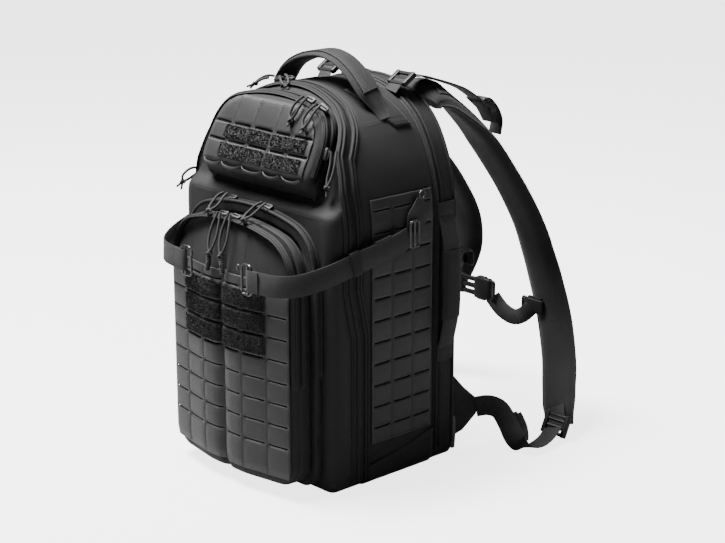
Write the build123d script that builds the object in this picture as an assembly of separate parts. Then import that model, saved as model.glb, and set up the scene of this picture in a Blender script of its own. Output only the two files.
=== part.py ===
"""Clamshell trauma backpack, standing on its base.

Millimetres. X points to the wearer's right, which is the right-hand side of a front view.
Y points from the front pockets to the wearer's back, and Z is up. The origin is on the floor,
under the middle of the main compartment.
"""
import os
from math import cos, pi, radians, sin, tan

from build123d import *

# ---- driving dimensions -------------------------------------------------------------------
HALF_WIDTH = 131.0          # main compartment, centre to side
TOP = 448.0                 # apex of the main compartment's arch
ARCH_START = 300.0          # height where the straight sides end
BASE = 1.5                  # underside of the fabric, just above the base boot's sole
FRONT_FACE = -75.0          # front face of the clamshell's front
SHELF = 321.0               # top of the lower pockets, where the front starts to lean back
REAR_SEAM = 82.0            # between the main and the rear compartment
REAR_FACE = 115.0           # back panel, which the pads are sewn to
WALL = 3.0                  # padded fabric wall
POCKET_WALL = 2.5           # wall of the front pockets
ZIP_BAND = 9.0              # each half of the main zip, with its piping
SKIN = 1.3                  # laminate, loop tape and other sewn-on layers
SEW_GAP = 0.1               # between a sewn-on layer and the fabric under it
SPLIT_GAP = 0.4             # each side of a zip or of another moving split
WEB = 25.0                  # webbing width
WEB_THICK = 1.8
MOLLE_PITCH = 25.4          # one slot row to the next
COLUMN_SEAMS = (0.0, 34.0, 70.0, 103.0)     # sewn seams between slot columns, centre to side
COLUMN_GAP = 4.0            # uncut laminate between two columns
SLOT_ROWS = 8               # rows on the outer pocket
SIDE_SLOT_ROWS = 11
SLOT_HEIGHT = 2.0
FAR = 400.0                 # reach of the cutting blocks

LOWER_HINGE_Z = 132.0       # fold line of the outer pocket's front
LOWER_ZIP_Y = -102.0
ORGANISER_FRONT = -84.0
UPPER_HINGE_Z = 358.0
HANDLE_Y = 34.0
HANDLE_HINGE_Z = 430.0
PULL_CORD = 3.0             # diameter of the zip pulls' cord

parts = {}


# ---- helpers --------------------------------------------------------------------------------
def box(x0, x1, y0, y1, z0, z1):
    """Box between two corners."""
    return Pos((x0 + x1) / 2, (y0 + y1) / 2, (z0 + z1) / 2) * Box(x1 - x0, y1 - y0, z1 - z0)


def slab_yz(points, half=FAR):
    """Side-view outline, given as (y, z), drawn out to both sides."""
    face = make_face(Polyline(*[(0, y, z) for y, z in points], close=True))
    return extrude(face, amount=half, dir=(1, 0, 0), both=True)


def slab_xy(points, low=-FAR, high=2 * FAR):
    """Plan outline, given as (x, y), drawn from low to high."""
    face = make_face(Polyline(*[(x, y, low) for x, y in points], close=True))
    return extrude(face, amount=high - low, dir=(0, 0, 1))


def upright_outline(half, base, corner, start, top, turns, shoulder):
    """Front-view outline: rounded bottom corners, straight sides and a three-radius arch.

    The arch leaves the sides at start. It turns by turns[0] degrees at a long radius and by
    turns[1] at the shoulder radius, and the rest brings it level at the top.
    """
    first, second = radians(turns[0]), radians(turns[0] + turns[1])
    across = half - shoulder * (cos(first) - cos(second))
    up = top - start - shoulder * (sin(second) - sin(first))
    share = (1 - cos(first)) * (1 - sin(second)) - cos(second) * sin(first)
    side_radius = (across * (1 - sin(second)) - up * cos(second)) / share
    top_radius = (up * (1 - cos(first)) - across * sin(first)) / share
    low = Line((0, base), (half - corner, base))
    turn = JernArc(low @ 1, (1, 0), corner, 90)
    rise = Line(turn @ 1, (half, start))
    side_arc = JernArc(rise @ 1, (0, 1), side_radius, turns[0])
    shoulder_arc = JernArc(side_arc @ 1, side_arc % 1, shoulder, turns[1])
    top_arc = JernArc(shoulder_arc @ 1, shoulder_arc % 1, top_radius, 90 - sum(turns))
    right = [low, turn, rise, side_arc, shoulder_arc, top_arc]
    return make_face(right + [mirror(edge, about=Plane.YZ) for edge in right])


def upright(outline, inset, y_front, y_back):
    """Solid from y_front to y_back whose outline is moved inwards by inset."""
    shaped = offset(outline, amount=-inset) if inset else outline
    solid = extrude(shaped, amount=y_back - y_front, dir=(0, 0, 1))
    return Plane((0, y_back, 0), x_dir=(1, 0, 0), z_dir=(0, -1, 0)) * solid


def section(a, b, c, width_dir, width, thick):
    """Rectangle across a strap at point b, square to the line from a to c."""
    run = (Vector(*c) - Vector(*a)).normalized()
    normal = run.cross(Vector(*width_dir)).normalized()
    across = normal.cross(run).normalized() * (width / 2)
    lift = normal * (thick / 2)
    mid = Vector(*b)
    corners = [mid - across - lift, mid + across - lift, mid + across + lift, mid - across + lift]
    return Wire.make_polygon(corners, close=True)


def strap(points, width_dir, width=WEB, thick=WEB_THICK):
    """Flat strap through the points, its width along width_dir."""
    ends = [points[0]] + list(points) + [points[-1]]
    wires = [section(ends[i - 1], ends[i], ends[i + 1], width_dir, width, thick)
             for i in range(1, len(ends) - 1)]
    return Solid.make_loft(wires, ruled=True)


def mirrored(shape):
    return mirror(shape, about=Plane.YZ)


def both_sides(shape):
    return Compound(children=[shape, mirrored(shape)])


def keep(name, shape):
    parts[name] = shape


# ---- main compartment -----------------------------------------------------------------------
BODY = upright_outline(HALF_WIDTH, BASE, 16, ARCH_START, TOP, (30, 35), 95)


def body(inset, y_front, y_back):
    """The pack's arch section, moved inwards by inset."""
    return upright(BODY, inset, y_front, y_back)


def leaning_front(inset):
    """Side view of the clamshell: upright behind the lower pockets, leaning back above them."""
    y = FRONT_FACE + inset
    front = [(y + 8, BASE - 30), (y, BASE + 8), (y, SHELF - inset)]
    lean = [(y + 13, SHELF + 14 - inset), (y + 60, TOP + 4 - inset)]
    return slab_yz(front + lean + [(FAR, TOP + 60), (FAR, BASE - 30)])


def zip_line(shift):
    """Everything in front of the main zip, which sweeps back over the top."""
    line = [(-33, -50), (-33, 185), (-45, 240), (-45, 350), (-38, 385)]
    line += [(-16, 412), (-5, 431), (0, 446), (0, 600)]
    return slab_yz([(y + shift, z) for y, z in line] + [(-FAR, 600), (-FAR, -50)])


def main_compartment():
    outer = body(0, FRONT_FACE, REAR_SEAM) & leaning_front(0)
    inner = body(WALL, FRONT_FACE + WALL, REAR_SEAM - WALL) & leaning_front(WALL)
    shell = outer - inner
    keep("front_shell", shell & zip_line(-SPLIT_GAP))
    keep("main_shell", shell - zip_line(SPLIT_GAP))

    welt = body(-SKIN, FRONT_FACE, REAR_SEAM) - body(-SEW_GAP, -FAR, FAR)
    welt = welt & box(-FAR, FAR, -FAR, FAR, 18, FAR * 2)
    keep("main_zip_front", welt & (zip_line(-SPLIT_GAP) - zip_line(-ZIP_BAND)))
    keep("main_zip_rear", welt & (zip_line(ZIP_BAND) - zip_line(SPLIT_GAP)))

    boot = body(-BASE, -23, 81.5) - body(-SEW_GAP, -FAR, FAR)
    slope = slab_yz([(-FAR, -10), (FAR, -10), (FAR, 74), (82, 48), (-20, 29), (-FAR, 29)])
    keep("base_boot", boot & slope)

    plate = body(-SKIN, -18, 79) - body(-SEW_GAP, -FAR, FAR)
    plate = plate & box(100, 150, -FAR, FAR, 52, 338)
    for row in range(SIDE_SLOT_ROWS):
        z = 71 + row * MOLLE_PITCH
        for column in range(3):
            y = -14 + column * 31
            plate = plate - box(120, 150, y, y + 25, z - SLOT_HEIGHT / 2, z + SLOT_HEIGHT / 2)
    keep("side_panels", both_sides(plate))

    keep("divider_panel", body(12, 70, 76) & box(-FAR, FAR, -FAR, FAR, 0, 400))


def side_anchors():
    """Sewn tab on each side that ends in a metal triglide for the compression strap."""
    outline = [(56, 332), (47, 328), (38, 306), (50, 296), (64, 290), (73, 306), (65, 328)]
    tab = Pos(HALF_WIDTH + 3, 0, 0) * slab_yz(outline, 1.2)
    keep("side_tabs", both_sides(tab))
    frame = box(139.5, 142.5, 34, 48, 277, 307) - box(130, 150, 37, 39.5, 280, 304)
    frame = frame - box(130, 150, 42.5, 45, 280, 304)
    keep("side_triglides", both_sides(frame))


def carry_handle():
    patch = body(-SKIN, 22, 60) - body(-SEW_GAP, -FAR, FAR)
    patch = patch & slab_yz([(22, 500), (60, 500), (74, 404), (50, 404), (30, 425)], FAR)
    patch = patch & box(52, 130, -FAR, FAR, 400, 445)
    keep("handle_patches", both_sides(patch))
    grip = [(-73, 0, 15), (-66, 0, 29), (-50, 0, 42), (-26, 0, 51), (0, 0, 54),
            (26, 0, 51), (50, 0, 42), (66, 0, 29), (73, 0, 15)]
    points = [(x, HANDLE_Y, HANDLE_HINGE_Z + z) for x, _, z in grip]
    keep("carry_handle", strap(points, (0, 1, 0), 36, 7))


# ---- lower pockets --------------------------------------------------------------------------
LOWER = upright_outline(105, 14, 24, 235, 308, (20, 55), 45)
ORGANISER = upright_outline(113, 9, 24, 245, 321, (20, 55), 48)
UPPER = upright_outline(95, 337, 14, 388, 441, (15, 60), 36)


def lower_front(inset):
    """Bowed front of the outer pocket, curving back towards its top."""
    y = -126 + inset
    bow = [(-112, y + 15), (-62, y + 5), (0, y), (62, y + 5), (112, y + 15)]
    plan = slab_xy(bow + [(112, 0), (-112, 0)])
    lean = slab_yz([(y, -20), (y, 238), (y + 9, 280), (y + 21, 310), (y + 21, 340), (0, 340), (0, -20)])
    return plan & lean


def lower_solid(inset, y_back):
    return upright(LOWER, inset, -140, y_back) & lower_front(inset)


def lower_pocket():
    rear = ORGANISER_FRONT - SPLIT_GAP
    shell = lower_solid(0, rear) - lower_solid(POCKET_WALL, rear - POCKET_WALL)
    flap_space = box(-FAR, FAR, -FAR, LOWER_ZIP_Y, LOWER_HINGE_Z, FAR)
    flap_cut = box(-FAR, FAR, -FAR, LOWER_ZIP_Y + 2 * SPLIT_GAP, LOWER_HINGE_Z - SPLIT_GAP, FAR)
    keep("lower_pocket_flap", shell & flap_space)
    keep("lower_pocket_shell", shell - flap_cut)

    skin = lower_solid(-SKIN, rear) - lower_solid(-SEW_GAP, 0)
    above = LOWER_HINGE_Z + 0.2
    keep("lower_zip", skin & box(-FAR, FAR, LOWER_ZIP_Y + 1, LOWER_ZIP_Y + 9, above, FAR))
    edge = COLUMN_SEAMS[-1]
    low = skin & box(-edge, edge, -FAR, -105, 42, LOWER_HINGE_Z - 1)
    high = skin & box(-edge, edge, -FAR, -112, above, 242)
    for row in range(SLOT_ROWS):
        z = 63 + row * MOLLE_PITCH
        for near, far in zip(COLUMN_SEAMS, COLUMN_SEAMS[1:]):
            ends = near + COLUMN_GAP / 2, far - COLUMN_GAP / 2
            slot = both_sides(box(*ends, -FAR, -100, z - SLOT_HEIGHT / 2, z + SLOT_HEIGHT / 2))
            low = low - slot
            high = high - slot
    keep("front_panel_lower", low)
    keep("front_panel_upper", high)
    tape = lower_solid(-2 * SKIN, rear) - lower_solid(-SKIN - SEW_GAP, 0)
    strips = [tape & box(x0, x1, -FAR, -112, z, z + 22)
              for z in (166.5, 192, 217.5) for x0, x1 in ((-70, -3), (3, 70))]
    keep("lower_loop_strips", Compound(children=strips))


def organiser():
    """Slim inner pocket between the outer pocket and the clamshell."""
    back = FRONT_FACE - SEW_GAP
    frame = upright(ORGANISER, 0, ORGANISER_FRONT, back)
    keep("organiser_gusset", frame - upright(ORGANISER, POCKET_WALL, -FAR, FAR))
    sleeve = upright(ORGANISER, 8, back - 2.6, back - 1)
    keep("organiser_sleeve", sleeve & box(-FAR, FAR, -FAR, FAR, 0, 170))


# ---- upper pocket -----------------------------------------------------------------------------
def upper_side_view(inset):
    i = inset
    bottom = (-62 - 0.45 * i, 337 + 1.55 * i)
    front = [(-78 + i, 354 + i), (-77 + i, 367), (-45 + i, 431)]
    top = [(-37 + i, 443 - i), (-19.5 - 1.5 * i, 443 - i)]
    return slab_yz([bottom] + front + top)


def upper_solid(inset):
    return upright(UPPER, inset, -120, 60) & upper_side_view(inset)


def upper_front(shift):
    """Space in front of the upper pocket's zip and above its fold line."""
    hem = UPPER_HINGE_Z - abs(shift) / 2
    return slab_yz([(-FAR, hem), (-67.5 + shift, hem), (-27 + shift, 445), (-27 + shift, 520), (-FAR, 520)])


def upper_pocket():
    shell = upper_solid(0) - upper_solid(POCKET_WALL)
    keep("upper_pocket_flap", shell & upper_front(0))
    keep("upper_pocket_shell", shell - upper_front(2 * SPLIT_GAP))
    skin = upper_solid(-SKIN) - upper_solid(-SEW_GAP)
    behind_zip = upper_front(8) - upper_front(2 * SPLIT_GAP)
    keep("upper_zip", skin & behind_zip & box(-FAR, FAR, -FAR, FAR, 362, 500))
    lean_face = slab_yz([(-FAR, 367), (-77.5, 367), (-45, 432), (-FAR, 432)])
    strips = []
    for z0, z1 in ((369, 384), (388, 403)):
        row = skin & lean_face & box(-58, 80, -FAR, 0, z0, z1)
        strips += [row & box(-58, 19, -FAR, FAR, 300, 500), row & box(23, 80, -FAR, FAR, 300, 500)]
    keep("upper_loop_strips", Compound(children=strips))


# ---- rear compartment -------------------------------------------------------------------------
def rear_compartment():
    front = REAR_SEAM + SPLIT_GAP
    keep("rear_shell", body(0.5, front, REAR_FACE) - body(WALL + 0.5, -FAR, REAR_FACE - WALL))
    back = REAR_FACE - WALL
    keep("frame_sheet", body(12, back - 1.9, back - 0.2))
    stay = box(38, 63, back - 5.2, back - 2.2, 30, 405)
    keep("frame_stays", both_sides(stay))
    keep("hydration_sleeve", box(-85, 85, 88, 90, 30, 330))
    pad_y = REAR_FACE + 0.3
    upper = fillet(box(12, 104, pad_y, pad_y + 12, 215, 395).edges().filter_by(Axis.Y), 24)
    lumbar = fillet(box(-104, 104, pad_y, pad_y + 15, 30, 120).edges().filter_by(Axis.Y), 24)
    middle = fillet(box(12, 104, pad_y, pad_y + 12, 130, 205).edges().filter_by(Axis.Y), 18)
    keep("back_pads", Compound(children=[upper, mirrored(upper), middle, mirrored(middle), lumbar]))
    outline = [(133, 145), (137, 156), (143, 185), (144, 225), (143, 262), (137, 290), (133, 301)]
    grab = strap([(x, 99, z) for x, z in outline], (0, 1, 0), 24, 3)
    keep("side_handles", both_sides(grab))
    tab = [(115.4, 108), (140, 82), (163, 62), (168, 52), (163, 42), (140, 27), (115.4, 22)]
    wing = Pos(123, 0, 0) * slab_yz(tab, 3)
    keep("wing_tabs", both_sides(wing))
    keep("lifter_anchors", both_sides(box(50, 70, 92, 95, 443.5, 456)))
    route = [(130, 164, 52), (139, 172, 54), (150, 182, 50), (160, 187, 36), (170, 190, 22),
             (177, 200, 13), (180, 216, 11), (180, 234, 15)]
    keep("lower_webs", both_sides(strap(route, (0.45, -0.2, 0.9), 20, WEB_THICK)))


# ---- shoulder straps ----------------------------------------------------------------------------
PAD_RIGHT = [(72, 124, 426), (72, 134, 430), (73, 150, 424), (75, 180, 401), (77, 210, 372), (79, 243, 332),
             (82, 272, 291), (85, 298, 246), (89, 310, 212), (98, 315, 179), (116, 314, 130), (137, 301, 84),
             (155, 282, 50), (166, 268, 32)]
PAD_LEFT = [(-72, 124, 426), (-71, 134, 430), (-70, 150, 424), (-69, 182, 402), (-67, 220, 372),
            (-65, 262, 332), (-60, 296, 291), (-55, 322, 246), (-53, 330, 212), (-60, 332, 179),
            (-85, 326, 130), (-117, 307, 84), (-148, 284, 50), (-163, 268, 32)]
ACROSS = (1, 0, 0)


def lower_end(side):
    """Short strap end and the ladder lock at the foot of a shoulder strap."""
    lock = Rot(-25, 0, 0) * (Box(32, 5, 26) - Pos(0, 0, 6) * Box(26, 9, 4) - Pos(0, 0, -6) * Box(26, 9, 4))
    return Pos(side * 174, 256, 17) * lock


def shoulder_straps():
    keep("strap_pad_right", strap(PAD_RIGHT, ACROSS, 56, 15))
    keep("strap_pad_left", strap(PAD_LEFT, ACROSS, 56, 15))
    keep("ladder_lock_right", lower_end(1))
    keep("ladder_lock_left", lower_end(-1))
    lifter = [(64, 116, 452), (70, 132, 447), (75, 155, 440), (76, 180, 430), (77, 204, 415)]
    keep("lifter_web_right", strap(lifter, ACROSS, 20))
    keep("lifter_web_left", strap([(-x, y, z) for x, y, z in lifter], ACROSS, 20))
    buckle = Rot(-38, 0, 0) * (Box(26, 24, 4) - Pos(0, 5, 0) * Box(20, 4, 8) - Pos(0, -5, 0) * Box(20, 4, 8))
    keep("lifter_buckle_right", Pos(77, 217, 404) * buckle)
    keep("lifter_buckle_left", Pos(-77, 217, 404) * buckle)


def sternum_strap():
    right = [(86, 300, 137), (82, 292, 129), (72, 286, 126), (58, 280, 134), (48, 276, 147)]
    keep("sternum_web_right", strap(right, (0, 0.3, 1), 20))
    socket = fillet(box(18, 44, 269, 279, 143, 171).edges().filter_by(Axis.X), 3)
    plug = fillet(box(-12, 17.5, 270, 278, 145, 169).edges().filter_by(Axis.X), 3)
    keep("sternum_socket", socket)
    keep("sternum_plug", plug)
    left = [(-17, 275.5, 158), (-24, 284, 162), (-34, 298, 168), (-40, 312, 174)]
    keep("sternum_web_left", strap(left, (0, 0.3, 1), 20))


# ---- compression straps -------------------------------------------------------------------------
STRAP_ROUTE = [(62, -131.5, 254), (84, -130, 254), (104, -125, 255), (119, -113, 257), (130, -92, 262),
               (136, -68, 268), (139, -40, 275), (140.5, -5, 281), (141, 30, 289)]


def compression_straps():
    route = [STRAP_ROUTE, [(-x, y, z) for x, y, z in STRAP_ROUTE]]
    for name, points in zip(("right", "left"), route):
        keep("compression_strap_" + name, strap(points, (0, 0, 1)))
        side = 1 if name == "right" else -1
        hook = box(46, 61, -132.5, -129.9, 238, 270) - box(50, 57, -FAR, 0, 242, 266)
        keep("gatekeeper_hook_" + name, hook if side > 0 else mirrored(hook))


# ---- zip sliders and their cord pulls -------------------------------------------------------------
def pull_cord(points):
    """Tube along straight runs joined by arcs of 0.45 of the shorter run."""
    pts = [Vector(*p) for p in points]
    radii = []
    for before, at, after in zip(pts, pts[1:], pts[2:]):
        turn = (at - before).get_angle(after - at)
        shorter = min((at - before).length, (after - at).length)
        radii.append(0.45 * shorter / tan(radians(turn / 2)))
    path = FilletPolyline(*points, radius=radii)
    start = Plane(origin=path @ 0, z_dir=path % 0)
    tube = sweep(start * Circle(PULL_CORD / 2), path=path)
    fill = tube.volume / (pi * PULL_CORD ** 2 / 4 * path.length)
    bends = [round(r, 1) for r in radii]
    print("cord length", round(path.length, 1), "fill", round(fill, 3), "radii", bends)
    return tube


SLIDER = (14, 9, 5)         # along the zip, across it, and off the fabric
PULLS = {
    "main_side": [(-135, -52, 337), (-135.8, -58, 338), (-136, -66, 335), (-136, -73, 330), (-136, -72, 323),
                  (-136, -65, 324), (-135.8, -58, 327), (-135, -52, 330)],
    "main_top": [(-47, -3, 452), (-53, -6, 453), (-60, -10, 450), (-66, -14, 445), (-63, -19, 443),
                 (-57, -18, 447), (-52, -15, 450), (-47, -11, 451)],
    "upper_top": [(48, -41, 446), (45, -47, 442), (42, -52, 435), (41, -56, 427), (46, -59, 421),
                  (51, -56, 428), (53, -52, 436), (54, -47, 442), (55, -41, 446)],
    "upper_side": [(104.5, -51, 394), (106, -53, 386), (108, -57, 376), (108, -61, 365), (111, -64, 357),
                   (113, -60, 364), (113, -55, 376), (111, -51, 386), (108, -47, 394)],
    "lower": [(-17, -113.5, 315), (-20, -118, 304), (-22, -122, 291), (-21, -126, 279), (-16, -128.5, 270),
              (-11, -126, 279), (-9, -122, 291), (-10, -118, 304), (-13, -113.5, 315)],
    "organiser": [(27, -86, 329), (25, -92, 328), (23, -99, 322), (22, -107, 317), (27, -113, 314),
                  (32, -108, 317), (34, -100, 322), (35, -92, 328), (33, -86, 329)],
}


def zip_pulls():
    along, across, tall = SLIDER
    places = {
        "main_side": (-HALF_WIDTH - SKIN - 0.3 - tall / 2, -45, 335),
        "main_top": (-38, -4, 450),
        "upper_top": (51, -34, 441.5),
        "upper_side": (99.5, -53, 390),
        "lower": (-15, -107, 312.5),
        "organiser": (30, -80, 324),
    }
    for name, (x, y, z) in places.items():
        size = (tall, across, along) if name.endswith("side") else (along, across, tall)
        keep("slider_" + name, Pos(x, y, z) * Box(*size))
        keep("pull_cord_" + name, pull_cord(PULLS[name]))


main_compartment()
side_anchors()
carry_handle()
lower_pocket()
organiser()
upper_pocket()
rear_compartment()
shoulder_straps()
sternum_strap()
compression_straps()
zip_pulls()

os.makedirs("parts", exist_ok=True)
for name, shape in parts.items():
    export_step(shape, "parts/" + name + ".step")
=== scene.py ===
import math

import bpy
import numpy as np
from mathutils import Matrix, Vector


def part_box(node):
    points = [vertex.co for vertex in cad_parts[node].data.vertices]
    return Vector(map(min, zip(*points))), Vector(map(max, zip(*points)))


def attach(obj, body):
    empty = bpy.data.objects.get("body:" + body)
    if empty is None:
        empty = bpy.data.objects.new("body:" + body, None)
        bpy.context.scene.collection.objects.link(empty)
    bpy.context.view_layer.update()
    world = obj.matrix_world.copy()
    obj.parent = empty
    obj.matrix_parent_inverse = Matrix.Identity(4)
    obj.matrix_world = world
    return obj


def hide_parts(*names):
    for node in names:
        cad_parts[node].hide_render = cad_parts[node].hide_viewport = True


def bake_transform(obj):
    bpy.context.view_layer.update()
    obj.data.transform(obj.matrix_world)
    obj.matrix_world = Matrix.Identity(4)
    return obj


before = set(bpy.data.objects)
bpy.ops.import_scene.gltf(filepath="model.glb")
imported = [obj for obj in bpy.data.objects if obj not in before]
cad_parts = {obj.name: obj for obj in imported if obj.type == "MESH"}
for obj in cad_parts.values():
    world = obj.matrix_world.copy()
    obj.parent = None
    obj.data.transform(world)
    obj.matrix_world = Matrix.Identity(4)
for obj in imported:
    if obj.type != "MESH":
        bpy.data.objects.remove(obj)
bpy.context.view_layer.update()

# Trauma backpack. Lengths are millimetres until make() and pull() turn them into metres. X points to
# the wearer's right, Y to the wearer's back, and Z up.
MM = 0.001
X, Y, Z = (1, 0, 0), (0, 1, 0), (0, 0, 1)
RNG = np.random.default_rng(7)

HALF_WIDTH, TOP, ARCH_START, BASE = 131.0, 448.0, 300.0, 1.5
REAR_SEAM, REAR_FACE = 82.0, 115.0
FRONT_FACE, SHELF = -75.0, 321.0
MOLLE_PITCH = 25.4
ORGANISER_FRONT, LOWER_ZIP_Y = -84.4, -102.0
LOWER_HINGE_Z = 132.0
WEB = 25.0


# ---- outlines ----
def arch(half, base, corner, start, top, turns, shoulder, step=3.0):
    """Points (x, z) and outward normals round an arch-topped outline, anticlockwise."""
    first, second = math.radians(turns[0]), math.radians(sum(turns))
    across = half - shoulder * (math.cos(first) - math.cos(second))
    up = top - start - shoulder * (math.sin(second) - math.sin(first))
    share = (1 - math.cos(first)) * (1 - math.sin(second)) - math.cos(second) * math.sin(first)
    side = (across * (1 - math.sin(second)) - up * math.cos(second)) / share
    crown = (up * (1 - math.cos(first)) - across * math.sin(first)) / share
    runs = [(half - corner, 0), (corner, 90), (start - base - corner, 0)]
    runs += [(side, turns[0]), (shoulder, turns[1]), (crown, 90 - sum(turns))]
    at, heading = np.array([0.0, base]), 0.0
    points, normals = [], []
    for size, turn in runs:
        length = size * math.radians(turn) if turn else size
        count = max(2, round(length / step))
        for i in range(count):
            share = i / count
            if turn:
                h = heading + math.radians(turn) * share
                offset = size * np.array([math.sin(h) - math.sin(heading), math.cos(heading) - math.cos(h)])
            else:
                h, offset = heading, length * share * np.array([math.cos(heading), math.sin(heading)])
            points.append(at + offset)
            normals.append((math.sin(h), -math.cos(h)))
        if turn:
            end = heading + math.radians(turn)
            at = at + size * np.array([math.sin(end) - math.sin(heading), math.cos(heading) - math.cos(end)])
            heading = end
        else:
            at = at + length * np.array([math.cos(heading), math.sin(heading)])
    points.append(at)
    normals.append((0.0, 1.0))
    p, n = np.array(points), np.array(normals)
    flip = np.array([-1.0, 1.0])
    return np.vstack([p, (p * flip)[-2:0:-1]]), np.vstack([n, (n * flip)[-2:0:-1]])


BODY = arch(HALF_WIDTH, BASE, 16, ARCH_START, TOP, (30, 35), 95)
LOWER = arch(105, 14, 24, 235, 308, (20, 55), 45)
ORGANISER = arch(113, 9, 24, 245, 321, (20, 55), 48)
UPPER = arch(95, 337, 14, 388, 441, (15, 60), 36)


def side_x(z, outline=BODY):
    """Half width of an outline at a height."""
    p = outline[0]
    right = p[:len(p) // 2 + 1]
    first = int(np.argmax(right[:, 1] > right[0, 1] + 0.01)) - 1
    return np.interp(z, right[first:, 1], right[first:, 0])


def zip_y(z):
    """Where the main zip runs, front to back, at a height."""
    heights = [0, 185, 240, 350, 385, 412, 431, 446, 460]
    return np.interp(z, heights, [-33, -33, -45, -45, -38, -16, -5, 0, 0])


def noise3(p, scale, seed=0.0):
    """Smooth, repeatable unevenness in about -1 to 1, with p in millimetres."""
    q = p / scale + seed
    a = np.sin(q[..., 0] * 1.7 + 1.3 * np.sin(q[..., 1] * 1.1 + q[..., 2] * 0.7))
    b = np.sin(q[..., 1] * 2.1 + 1.1 * np.sin(q[..., 2] * 1.3 + q[..., 0] * 0.9) + 2.0)
    c = np.sin(q[..., 2] * 1.9 + 1.2 * np.sin(q[..., 0] * 1.5 + q[..., 1] * 0.8) + 4.0)
    return (a + b + c) / 3


# ---- materials ----
class Nodes:
    """Short names for building one material's nodes."""

    def __init__(self, name):
        self.material = bpy.data.materials.new(name)
        self.material.use_nodes = True
        self.tree = self.material.node_tree
        self.shader = self.tree.nodes["Principled BSDF"]

    def add(self, kind, **values):
        node = self.tree.nodes.new(kind)
        for key, value in values.items():
            if hasattr(node, key):
                setattr(node, key, value)
            else:
                node.inputs[key.replace("_", " ")].default_value = value
        return node

    def coordinates(self, uv=False):
        return self.add("ShaderNodeTexCoord").outputs["UV" if uv else "Object"]

    def math(self, how, a, b=None, value=0.5):
        node = self.add("ShaderNodeMath", operation=how)
        self.tree.links.new(a, node.inputs[0])
        if b is None:
            node.inputs[1].default_value = value
        else:
            self.tree.links.new(b, node.inputs[1])
        return node.outputs[0]

    def wave(self, source, scale, turn=(1, 1, 1), direction="DIAGONAL"):
        mapping = self.add("ShaderNodeMapping")
        mapping.inputs["Scale"].default_value = turn
        self.tree.links.new(source, mapping.inputs["Vector"])
        wave = self.add("ShaderNodeTexWave", bands_direction=direction, Scale=scale, Distortion=0.0)
        self.tree.links.new(mapping.outputs[0], wave.inputs["Vector"])
        return wave.outputs["Fac"]

    def noise(self, source, scale, detail=3.0):
        node = self.add("ShaderNodeTexNoise", Scale=scale, Detail=detail)
        self.tree.links.new(source, node.inputs["Vector"])
        return node.outputs["Fac"]

    def ramp(self, source, low, high, dark, light, into):
        ramp = self.add("ShaderNodeValToRGB")
        first, last = ramp.color_ramp.elements
        first.position, last.position = low, high
        first.color, last.color = (*dark, 1), (*light, 1)
        self.tree.links.new(source, ramp.inputs["Fac"])
        self.tree.links.new(ramp.outputs["Color"], self.shader.inputs[into])

    def range(self, source, low, high, into):
        node = self.add("ShaderNodeMapRange")
        self.tree.links.new(source, node.inputs["Value"])
        node.inputs["To Min"].default_value = low
        node.inputs["To Max"].default_value = high
        self.tree.links.new(node.outputs["Result"], self.shader.inputs[into])

    def bump(self, source, distance, strength=1.0):
        node = self.add("ShaderNodeBump", Distance=distance, Strength=strength)
        self.tree.links.new(source, node.inputs["Height"])
        self.tree.links.new(node.outputs["Normal"], self.shader.inputs["Normal"])

    def fixed(self, **values):
        for key, value in values.items():
            self.shader.inputs[key.replace("_", " ")].default_value = value


def grey(value):
    return (value, value, value * 1.04)


def fabric(name, dark, light, rough, thread, depth, sheen=0.03):
    """Woven cloth: crossing threads, faded patches and lighter rubbed edges."""
    n = Nodes(name)
    source = n.coordinates()
    pitch = 0.31 / thread
    weave = n.math("ADD", n.wave(source, pitch), n.wave(source, pitch, (1, 1, -1)))
    weave = n.math("ADD", weave, n.wave(source, pitch, (-1, 1, 1)))
    weave = n.math("MULTIPLY", weave, value=0.34)
    patches = n.noise(source, 14.0, 5.0)
    slubs = n.noise(source, 420.0, 2.0)
    rubbed = n.add("ShaderNodeNewGeometry").outputs["Pointiness"]
    edge = n.math("MULTIPLY", n.math("SUBTRACT", rubbed, value=0.52), value=6.0)
    edge = n.math("MAXIMUM", edge, value=0.0)
    tone = n.math("ADD", n.math("MULTIPLY", patches, value=0.55), n.math("MULTIPLY", weave, value=0.3))
    tone = n.math("ADD", n.math("ADD", tone, n.math("MULTIPLY", slubs, value=0.15)), edge)
    n.ramp(tone, 0.25, 0.95, dark, light, "Base Color")
    n.range(patches, rough - 0.08, rough + 0.1, "Roughness")
    height = n.math("ADD", weave, n.math("MULTIPLY", slubs, value=0.6))
    n.bump(height, depth)
    n.fixed(Sheen_Weight=sheen, Sheen_Roughness=0.5, Specular_IOR_Level=0.16)
    return n.material


def webbing(name, dark, light, rib, uv=True):
    """Ribbed narrow webbing: ribs across it and a fine twill between them."""
    n = Nodes(name)
    source = n.coordinates(uv)
    ribs = n.wave(source, 0.31 / rib, direction="X" if uv else "DIAGONAL")
    twill = n.wave(source, 0.31 / (rib * 0.45))
    worn = n.noise(source, 30.0, 4.0)
    height = n.math("ADD", n.math("MULTIPLY", ribs, value=0.7), n.math("MULTIPLY", twill, value=0.3))
    tone = n.math("ADD", n.math("MULTIPLY", worn, value=0.6), n.math("MULTIPLY", height, value=0.4))
    n.ramp(tone, 0.3, 0.85, dark, light, "Base Color")
    n.range(worn, 0.5, 0.72, "Roughness")
    n.bump(height, 0.00035)
    n.fixed(Sheen_Weight=0.04, Sheen_Roughness=0.5, Specular_IOR_Level=0.2)
    return n.material


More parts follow.
